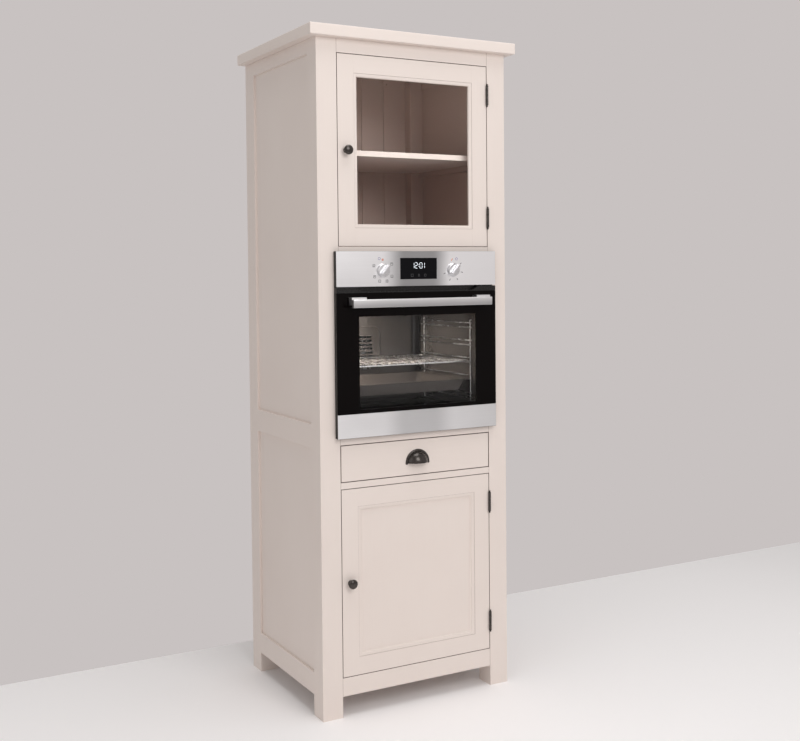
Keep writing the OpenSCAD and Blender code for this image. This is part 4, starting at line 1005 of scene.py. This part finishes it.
class OVENHOUSING_OT_ironwork(bpy.types.Operator):
    """Make the turned knobs, the cup handle and the butt hinges"""
    bl_idname = "ovenhousing.ironwork"
    bl_label = "Knobs, Handle and Hinges"

    def execute(self, context):
        edge = look("hardware").edge
        for node in ("upper_door_knob", "lower_door_knob"):
            low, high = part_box(node)
            size = (high - low) / MM
            foot = middle(node)
            foot.y = high.y
            knob = turned(KNOB_PROFILE, foot, (0, -1, 0), size.x / 2, size.y, 48)
            stand_in(node, knob, black_iron(), smooth=60)
        dressed("cup_handle", black_iron(), edge, smooth=50)
        dressed("frame_hinge_leaves upper_hinge_leaves lower_hinge_leaves", black_iron(),
                0.3 * edge, 2 * MM)
        dressed("magnet_catches", black_iron(), edge)
        self.make_pins()
        return {"FINISHED"}

    def make_pins(self):
        """The hinges' pins with a finial on each end, in millimetres."""
        pins = bmesh.new()
        knuckle = 4.5
        pin = 2.5
        finial = 7
        whole = merged("hinge_pins")
        boxes = sorted(corners(part) for part in parts_of(whole))
        whole.free()
        for low, high in boxes:
            x, y = ((a + b) / 2 for a, b in zip(low[:2], high[:2]))
            top = (high[2] - low[2]) / MM - finial
            core = [(0, finial), (pin, finial), (pin, top), (0, top)]
            join(pins, spun(core, (x, y, low[2]), (0, 0, 1), 24))
            for end, up in ((high[2] - finial * MM, 1), (low[2] + finial * MM, -1)):
                join(pins, turned(FINIAL_PROFILE, (x, y, end), (0, 0, up), knuckle, finial, 24))
        stand_in("hinge_pins", pins, black_iron(), smooth=50)


# ---- Oven front ----

# Signs are drawn in millimetres: (x, z) on the plane at depth y
INK = 0.12
LINE = 1.1
SIGN = 8
KNOB_TURN = 40
SEGMENTS = {"0": "abcdef", "1": "bc", "2": "abged"}


def stroke(shape, y, start, end, width, thick=INK):
    """A flat bar between two points, as far back as y."""
    start, end = Vector(start), Vector(end)
    along = (end - start).normalized()
    across = Vector((-along.y, along.x)) * width / 2
    places = [start - across, end - across, end + across, start + across]
    rows = [[shape.verts.new(Vector((p.x, depth, p.y)) * MM) for p in places]
            for depth in (y - thick, y)]
    shape.faces.new(rows[0])
    shape.faces.new(rows[1][::-1])
    for i in range(4):
        j = (i + 1) % 4
        shape.faces.new((rows[0][i], rows[1][i], rows[1][j], rows[0][j]))


def figure(shape, y, digit, x, z, width, height):
    """A seven-segment figure centred on (x, z)."""
    left, right = x - width / 2, x + width / 2
    top, low = z + height / 2, z - height / 2
    gap = 0.12 * width
    ends = {
        "a": ((left + gap, top), (right - gap, top)), "b": ((right, top - gap), (right, z + gap)),
        "c": ((right, z - gap), (right, low + gap)), "d": ((left + gap, low), (right - gap, low)),
        "e": ((left, z - gap), (left, low + gap)), "f": ((left, top - gap), (left, z + gap)),
        "g": ((left + gap, z), (right - gap, z))}
    for segment in SEGMENTS[digit]:
        stroke(shape, y, *ends[segment], 0.16 * width)


def looped(shape, y, points, line=LINE):
    for start, end in zip(points, points[1:] + points[:1]):
        stroke(shape, y, start, end, line)


def hollow_square(shape, y, x, z):
    half = SIGN / 2
    looped(shape, y, [(x - half, z - half), (x + half, z - half), (x + half, z + half),
                      (x - half, z + half)])


def ring_mark(shape, y, x, z, size=SIGN, line=LINE):
    looped(shape, y, [Vector((x, z)) + way(30 * i) * size / 2 for i in range(12)], line)


def bar(shape, y, x, z, half, line):
    stroke(shape, y, (x - half, z), (x + half, z), line)


class OVENHOUSING_OT_oven_front(bpy.types.Operator):
    """Make the control panel with its clock, knobs and marks"""
    bl_idname = "ovenhousing.oven_front"
    bl_label = "Oven Front"

    def execute(self, context):
        dressed("control_panel", steel_front(), look("oven").edge, TINY)
        dressed("display_glass", display_glass(), 0.4 * MM)
        dressed("oven_front_frame", skinned("black_metal"), 0.5 * MM, SMALL)
        dressed("oven_screws", zinc_steel(), 0.2 * MM, 20 * MM)
        dressed("control_switches", skinned("switch_plastic"), 0.6 * MM, SMALL)
        self.make_clock()
        for node in ("function_knob", "thermostat_knob"):
            self.make_knob(node)
        self.make_marks()
        return {"FINISHED"}

    def make_clock(self):
        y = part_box("display_glass")[0].y / MM
        centre = middle("display_glass").z / MM
        figures, touch = bmesh.new(), bmesh.new()
        z = centre + 10
        for digit, x in (("1", -22), ("2", -9.5), ("0", 8), ("1", 17)):
            figure(figures, y, digit, x, z, 9, 18)
        for rise in (-3.2, 3.2):
            bar(figures, y, -0.7, z + rise, 0.9, 1.5)
        z = centre - 22
        hollow_square(touch, y, -25, z)
        for rise in (-3, 0, 3):
            bar(touch, y, 0, z + rise, 3, 1.4)
        ring_mark(touch, y, 24, z)
        for name, shape, finish in (("clock_figures", figures, clock_figures()),
                                    ("touch_marks", touch, touch_marks())):
            piece(name, shape, finish, "cabinet", slot="display_glass", even=False)

    def make_knob(self, node):
        """A spun base, a waisted grip with rounded ends, and a black line at the grip's foot."""
        low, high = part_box(node)
        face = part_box("control_panel")[0].y
        centre = middle(node)
        place = Vector((centre.x, centre.z)) / MM
        centre.y = face - 0.4 * MM
        radius = (high.x - low.x) / 2 / MM
        reach = (face - low.y) / MM
        profile = [(0, -20), (3, -20), (3, 0), (radius - 1.2, 0), (radius, 1), (radius, 3),
                   (radius - 0.8, 4.4), (radius - 2.2, 7.6), (radius - 3.2, 8.6), (radius - 4.4, 9),
                   (0, 9)]
        shape = spun(profile, centre, (0, -1, 0), 64)
        turn = Matrix.Rotation(math.radians(KNOB_TURN), 3, "Y")
        half = radius - 2
        sections = []
        for depth, grow in ((7, 1.6), (11, 0.2), (15, 0), (reach - 2.4, 0), (reach - 1.2, -0.4),
                            (reach - 0.5, -1.3)):
            wide, tall = 4.6 + grow, half + grow / 2
            sections.append([centre + turn @ Vector((x, -depth, z)) * MM
                             for x, z in outline(-wide, wide, -tall, tall, 4 + grow * 0.9)])
        join(shape, loft(sections, closed=False))
        stand_in(node, shape, metal("steel_knob"), smooth=45)
        line = bmesh.new()
        foot = way(-90 - KNOB_TURN)
        stroke(line, low.y / MM + 0.72, place + foot * 7, place + foot * (half - 3), 1.6, 0.4)
        piece(node + "_line", line, skinned("switch_plastic"), body_of(node), even=False)

    def make_marks(self):
        """Plain signs round the knobs: barred squares for the heat, strokes for its degree."""
        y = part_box("control_panel")[0].y / MM
        left, right = (Vector((centre.x, centre.z)) / MM
                       for centre in (middle("function_knob"), middle("thermostat_knob")))
        dark, orange, violet = bmesh.new(), bmesh.new(), bmesh.new()
        for turn, rises in ((33, (1.8,)), (-32, (-1.8,)), (-69, (1.8, -1.8)), (-111, (0,)),
                            (-147, (1.8, 0)), (156, (-1.8, 0))):
            x, z = left + way(turn) * 37
            hollow_square(dark, y, x, z)
            for rise in rises:
                bar(dark, y, x, z + rise, 2.4, LINE)
        for turn in (-160, -111, -63, -14, 35):
            stroke(dark, y, right + way(turn) * 32, right + way(turn) * 39, 1.9)
        ring_mark(violet, y, left.x - 14, left.y + 38)
        ring_mark(violet, y, right.x + 13, right.y + 36)
        ring_mark(orange, y, left.x - 2, left.y + 34, 5, 2.4)
        stroke(orange, y, right + Vector((-7, 30)), right + Vector((-2, 37)), 2.6)
        for tint, shape in (("dark", dark), ("orange", orange), ("violet", violet)):
            piece(tint + "_marks", shape, printed(tint + "_print"), "cabinet", slot="steel_front",
                  even=False)


# ---- Oven door ----

class OVENHOUSING_OT_oven_door(bpy.types.Operator):
    """Make the oven door with its glass, trim, handle and hinge arms"""
    bl_idname = "ovenhousing.oven_door"
    bl_label = "Oven Door"

    def execute(self, context):
        edge = look("oven").edge
        dressed("door_outer_glass", oven_glass(), 0.4 * MM)
        dressed("door_inner_glass", clear_glass(), 0.4 * MM)
        dressed("oven_door_frame", skinned("black_metal"), edge, SMALL)
        dressed("door_bottom_strip", steel_front(), edge)
        dressed("door_top_trim", skinned("black_metal"), edge, TINY)
        dressed("oven_handle", steel_front(), 1.4 * MM, SMALL)
        dressed("door_hinge_arms oven_hinge_brackets", zinc_steel(), 0.3 * MM, SMALL)
        return {"FINISHED"}


# ---- Oven inside ----

class OVENHOUSING_OT_oven_liner(bpy.types.Operator):
    """Make the cavity with its fan cover, heating elements, lamp and seal"""
    bl_idname = "ovenhousing.oven_liner"
    bl_label = "Oven Liner"

    def execute(self, context):
        self.make_cavity()
        self.make_fan_cover()
        dressed("heating_elements", metal("element_steel"), 0.2 * MM, SMALL, smooth=50)
        dressed("door_seal", skinned("seal_rubber"), 1.6 * MM, 0.5 * MM, smooth=50)
        self.make_lamp()
        return {"FINISHED"}

    def make_cavity(self):
        """A tub with rounded corners, pressed in one with its back, and a hole for the shaft."""
        low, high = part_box("oven_cavity")
        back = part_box("fan_cover")[1].y
        wall = (high.y - back) / MM
        centre = middle("oven_cavity").z
        shaft = 10 * MM
        hole = outline(-shaft, shaft, centre - shaft, centre + shaft, shaft * 0.999)
        sections = [hoop("oven_cavity", "y", *ring) for ring in (
            (low.y, wall, 22), (low.y, 0, 11), (high.y, 0, 11))]
        sections += [[(a, y, b) for a, b in hole] for y in (high.y, back)]
        sections += [hoop("oven_cavity", "y", back - depth * MM, wall + inset, 22)
                     for depth, inset in ((0, 17), (1.5, 11), (6, 5), (13, 1.5), (20, 0))]
        stand_in("oven_cavity", loft(sections), enamel())

    def make_fan_cover(self):
        """The pressed cover: its rim rounded, its slots crisp, and a bead round the slots."""
        low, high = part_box("fan_cover")
        corner = 45 * MM
        centre = middle("fan_cover").z
        shape = merged("fan_cover")

        def at_rim(place):
            side = max(abs(place.x) - high.x + corner, 0)
            rise = max(abs(place.z - centre) - (high.z - low.z) / 2 + corner, 0)
            return (abs(place.y - low.y) <= 0.05 * MM
                    and math.hypot(side, rise) >= corner - 2 * MM)

        soften(shape, 6 * MM, where=lambda edge: all(at_rim(vert.co) for vert in edge.verts),
               segments=4)
        bead = outline(-62 * MM, 62 * MM, centre - 78 * MM, centre + 92 * MM, 24 * MM)
        join(shape, tube([(a, low.y + 0.8 * MM, b) for a, b in bead], 2.2 * MM, loop=True, sides=8))
        stand_in("fan_cover", shape, enamel(), smooth=34)
        screw = spun([(0, 0.5), (4.2, 0.5), (4.2, -1.4), (3, -2.4), (0, -2.8)],
                     (-148 * MM, low.y, centre - 96 * MM), (0, 1, 0), 12)
        repeated("fan_cover_screws", screw, row_steps(), zinc_steel(), body_of("fan_cover"),
                 Count=2, Step=(296 * MM, 0, 0))

    def make_lamp(self):
        low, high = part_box("oven_lamp")
        base = middle("oven_lamp")
        base.z = high.z
        radius = (high.x - low.x) / 2 / MM
        reach = (high.z - low.z) / MM
        ring = [(0, 0), (radius, 0), (radius, 2.6), (radius - 1.4, 4), (radius - 4, 4), (0, 3)]
        dome = [(0, 2), (radius - 3.4, 2), (radius - 3.4, 5), (radius * 0.78, reach * 0.55),
                (radius * 0.6, reach * 0.78), (radius * 0.32, reach * 0.95), (0, reach)]
        ring, dome = (spun(profile, base, (0, 0, -1), 40) for profile in (ring, dome))
        piece("oven_lamp_ring", ring, metal("steel_knob"), body_of("oven_lamp"), ["oven_lamp"],
              slot="oven_glass")
        piece("oven_lamp_dome", dome, lamp_glass(), body_of("oven_lamp"), slot="oven_glass",
              smooth=60)


class OVENHOUSING_OT_fan(bpy.types.Operator):
    """Make the fan and its motor"""
    bl_idname = "ovenhousing.fan"
    bl_label = "Fan"

    def execute(self, context):
        low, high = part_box("fan_wheel")
        centre = middle("fan_wheel")
        radius = (high.z - low.z) / 2 / MM
        whole = (high.y - low.y) / MM
        hub = 12
        depth = 20
        sheet = 1.5
        profile = [(0, 0), (hub - 2, 0), (hub, 2), (hub, depth - sheet),
                   (radius - 1, depth - sheet), (radius, depth - sheet / 2), (radius - 1, depth),
                   (4, depth), (4, whole), (0, whole)]
        disc = spun(profile, (centre.x, low.y, centre.z), (0, 1, 0), 48)
        piece("fan_disc", disc, zinc_steel(), "fan", ["fan_wheel"])
        rows = []
        for share in (0, 0.25, 0.5, 0.75, 1):
            x = hub - 1 + (radius - hub - 1) * share
            z = 5 * math.sin(math.pi * share / 2) * share
            rows.append([Vector((x, y - whole / 2, z + rise)) * MM for y, rise in (
                (0, 0), (0, sheet), (depth - 0.5, sheet), (depth - 0.5, 0))])
        repeated("fan_blades", loft(rows, closed=False), circle_steps(), zinc_steel(), "fan",
                 Count=16, Centre=tuple(centre))
        dressed("fan_motor", zinc_steel(), 0.8 * MM, 1 * MM, smooth=50)
        return {"FINISHED"}


class OVENHOUSING_OT_racks(bpy.types.Operator):
    """Make the side racks, the wire shelf and the baking tray"""
    bl_idname = "ovenhousing.racks"
    bl_label = "Racks, Shelf and Tray"

    def execute(self, context):
        self.make_side_racks()
        self.make_shelf()
        self.make_tray()
        return {"FINISHED"}

    def make_side_racks(self):
        low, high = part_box("side_racks")
        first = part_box("oven_cavity")[0].z + 42 * MM
        rod = 2.5 * MM
        guide = high.x - 9 * MM
        post = guide + 2 * rod - 0.5 * MM
        bend = 2.2 * MM
        foot, top = low.z + rod, high.z - rod
        bent = [(high.x, foot), (post + bend, foot), (post + 0.3 * bend, foot + 0.3 * bend),
                (post, foot + bend), (post, top - bend), (post + 0.3 * bend, top - 0.3 * bend),
                (post + bend, top), (high.x, top)]
        rods, posts = bmesh.new(), bmesh.new()
        for side in (-1, 1):
            for z in (first, first + 16 * MM):
                join(rods, tube([(side * guide, y, z) for y in (low.y, high.y)], rod))
            for y in (low.y + 14 * MM, high.y - 14 * MM):
                join(posts, tube([(side * x, y, z) for x, z in bent], rod))
        repeated("rack_guides", rods, row_steps(), metal("rack_chrome"), body_of("side_racks"),
                 ["side_racks"], Count=5, Step=(0, 0, 60 * MM))
        piece("rack_posts", posts, metal("rack_chrome"), body_of("side_racks"), smooth=60)

    def make_shelf(self):
        low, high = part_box("wire_shelf")
        rod = 3
        wire = 1.6
        bars = 15
        z = high.z - rod * MM
        left, right, front, back = (
            low.x + rod * MM, high.x - rod * MM, low.y + rod * MM, high.y - rod * MM)
        shape = tube(hoop("wire_shelf", "z", z, rod, 12), rod * MM, loop=True)
        for share in (1 / 3, 2 / 3):
            y = front + (back - front) * share
            ends = [(x, y, high.z - 3.5 * wire * MM) for x in (left, right)]
            join(shape, tube(ends, 1.3 * wire * MM))
        piece("wire_shelf_frame", shape, metal("rack_chrome"), "wire_shelf", ["wire_shelf"],
              smooth=60)
        pitch = (right - left) / (bars + 1)
        z = high.z - (wire + 0.3) * MM
        shape = tube([(left + pitch, y, z) for y in (front, back)], wire * MM, sides=8)
        repeated("wire_shelf_bars", shape, row_steps(), metal("rack_chrome"), "wire_shelf",
                 Count=bars, Step=(pitch, 0, 0))

    def make_tray(self):
        """A deep tray with rounded corners and a rolled rim."""
        low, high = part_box("baking_tray")
        taper = 0.94
        rows = (
            (low.z, taper, ((0, 16, 22), (1, 11, 22), (5, 8, 20))),
            (high.z, 1.0, ((-4, 8, 20), (-2, 6.6, 20), (-2, 1, 12), (-1, 0, 12), (0, 1, 12),
                           (0, 8, 20), (-3, 10, 18))),
            (low.z, taper, ((8, 10, 18), (3.6, 13, 18), (2, 20, 20))))
        sections = [hoop("baking_tray", "z", level + rise * MM, inset, radius, share)
                    for level, share, rings in rows for rise, inset, radius in rings]
        stand_in("baking_tray", loft(sections, closed=False), enamel("tray_enamel"), slot="enamel",
                 smooth=50)


# ---- Oven case ----

class OVENHOUSING_OT_oven_case(bpy.types.Operator):
    """Make the oven's outer case with its screws"""
    bl_idname = "ovenhousing.oven_case"
    bl_label = "Oven Case"

    def execute(self, context):
        dressed("oven_casing", zinc_steel(), 0.6 * MM, SMALL)
        low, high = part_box("oven_casing")
        count = 6
        gap = (high.x - low.x - 30 * MM) / (count - 1)
        head = [(0, -0.5), (4, -0.5), (4, 0.6), (3.2, 1.8), (0, 2.3)]
        for name, z in (("upper", high.z - 14 * MM), ("lower", low.z + 14 * MM)):
            screw = spun(head, (low.x + 15 * MM, high.y - 22 * MM, z), (0, 1, 0), 12)
            repeated(name + "_case_screws", screw, row_steps(), zinc_steel(), "cabinet",
                     Count=count, Step=(gap, 0, 0))
        return {"FINISHED"}


# ---- Stage ----

def lamp(name, place, aim, size, power):
    light = bpy.data.lights.new(name, "AREA")
    light.shape = "DISK"
    light.size = size
    light.energy = power
    made = linked(name, light)
    made.location = place
    made.rotation_euler = (Vector(aim) - Vector(place)).to_track_quat("-Z", "Y").to_euler()


class OVENHOUSING_OT_stage(bpy.types.Operator):
    """Set up the floor, the even light, the lamps and the camera"""
    bl_idname = "ovenhousing.stage"
    bl_label = "Studio"

    def execute(self, context):
        stage = look("stage")
        self.make_floor(stage)
        self.make_sky(stage)
        target = (0, 0, 1.1)
        lamp("key", (0.1, -4.4, 3.3), target, 2.6, stage.key)
        lamp("fill", (-4.2, -1.6, 2.4), target, 3.0, stage.key * 0.17)
        lamp("overhead", (0, -1.0, 4.8), (0, -1.0, 0), 3.0, stage.key * 1.05)
        self.make_camera(stage)
        context.scene.view_settings.view_transform = "Standard"
        return {"FINISHED"}

    def make_floor(self, stage):
        shape = bmesh.new()
        half = 8
        wall = 0.6
        shape.faces.new([shape.verts.new(place) for place in (
            (-half, -half, 0), (half, -half, 0), (half, wall, 0), (-half, wall, 0))])
        finish = Finish("floor")
        cloud = finish.noise(0.8, 2)
        floor = linked("floor", mesh_of("floor", shape))
        floor.data.materials.append(finish.coat(
            Base_Color=finish.mix(dimmed(stage.floor, 0.96), stage.floor, cloud), Roughness=0.7))
        floor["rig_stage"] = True

    def make_sky(self, stage):
        """Even light, and a plain backdrop for what is seen directly, mirrored or through glass."""
        sky = Finish("studio", "worlds")
        seen, mirrored, through = (sky.node("ShaderNodeLightPath", out=f"Is {kind} Ray")
                                   for kind in ("Camera", "Glossy", "Transmission"))
        even, backdrop = (
            sky.node("ShaderNodeBackground", sockets={"Color": tint, "Strength": strength})
            for tint, strength in (((1.0, 0.985, 0.97), stage.sky), (stage.backdrop, 1.0)))
        bpy.context.scene.world = sky.done(
            sky.mix_shader(seen.larger(mirrored).larger(through), even, backdrop), "World")

    def make_camera(self, stage):
        turn = (Matrix.Rotation(-stage.yaw, 4, "Z") @ Matrix.Rotation(stage.pitch, 4, "X")
                @ Matrix.Rotation(math.pi / 2, 4, "X") @ Matrix.Rotation(stage.roll, 4, "Z"))
        data = bpy.data.cameras.new("camera")
        data.lens = stage.lens
        data.sensor_width = 36
        data.shift_x = -0.0349
        data.shift_y = -0.0776
        camera = linked("camera", data)
        camera.matrix_world = Matrix.Translation(stage.camera) @ turn
        bpy.context.scene.camera = camera


# ---- Add-on ----

STEPS = (
    OVENHOUSING_OT_cabinet_frame, OVENHOUSING_OT_cabinet_boards, OVENHOUSING_OT_glazed_door,
    OVENHOUSING_OT_panelled_door, OVENHOUSING_OT_drawer, OVENHOUSING_OT_ironwork,
    OVENHOUSING_OT_oven_front, OVENHOUSING_OT_oven_door, OVENHOUSING_OT_oven_liner,
    OVENHOUSING_OT_fan, OVENHOUSING_OT_racks, OVENHOUSING_OT_oven_case, OVENHOUSING_OT_stage)

SETTINGS = {"timber": TimberSettings, "hardware": HardwareSettings, "oven": OvenSettings,
            "stage": StageSettings}


class OVENHOUSING_PT_panel(bpy.types.Panel):
    """Lists the steps and their settings"""
    bl_idname = "OVENHOUSING_PT_panel"
    bl_label = "Oven Housing"
    bl_space_type = "VIEW_3D"
    bl_region_type = "UI"
    bl_category = "Oven Housing"

    def draw(self, context):
        for step in STEPS:
            self.layout.operator(step.bl_idname)
        for group, kind in SETTINGS.items():
            box = self.layout.box()
            for name in kind.__annotations__:
                box.prop(look(group), name)


def register():
    for group, kind in SETTINGS.items():
        bpy.utils.register_class(kind)
        setattr(bpy.types.Scene, "oven_housing_" + group, PointerProperty(type=kind))
    for kind in STEPS + (OVENHOUSING_PT_panel,):
        bpy.utils.register_class(kind)


def unregister():
    for kind in (OVENHOUSING_PT_panel,) + STEPS[::-1]:
        bpy.utils.unregister_class(kind)
    for group, kind in SETTINGS.items():
        delattr(bpy.types.Scene, "oven_housing_" + group)
        bpy.utils.unregister_class(kind)


def main():
    register()
    for step in STEPS:
        family, name = step.bl_idname.split(".")
        getattr(getattr(bpy.ops, family), name)()
    bpy.context.view_layer.update()
    sizes = [[list(corner) for corner in box] for box in (CAD_BOX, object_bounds())]


if __name__ == "__main__":
    main()
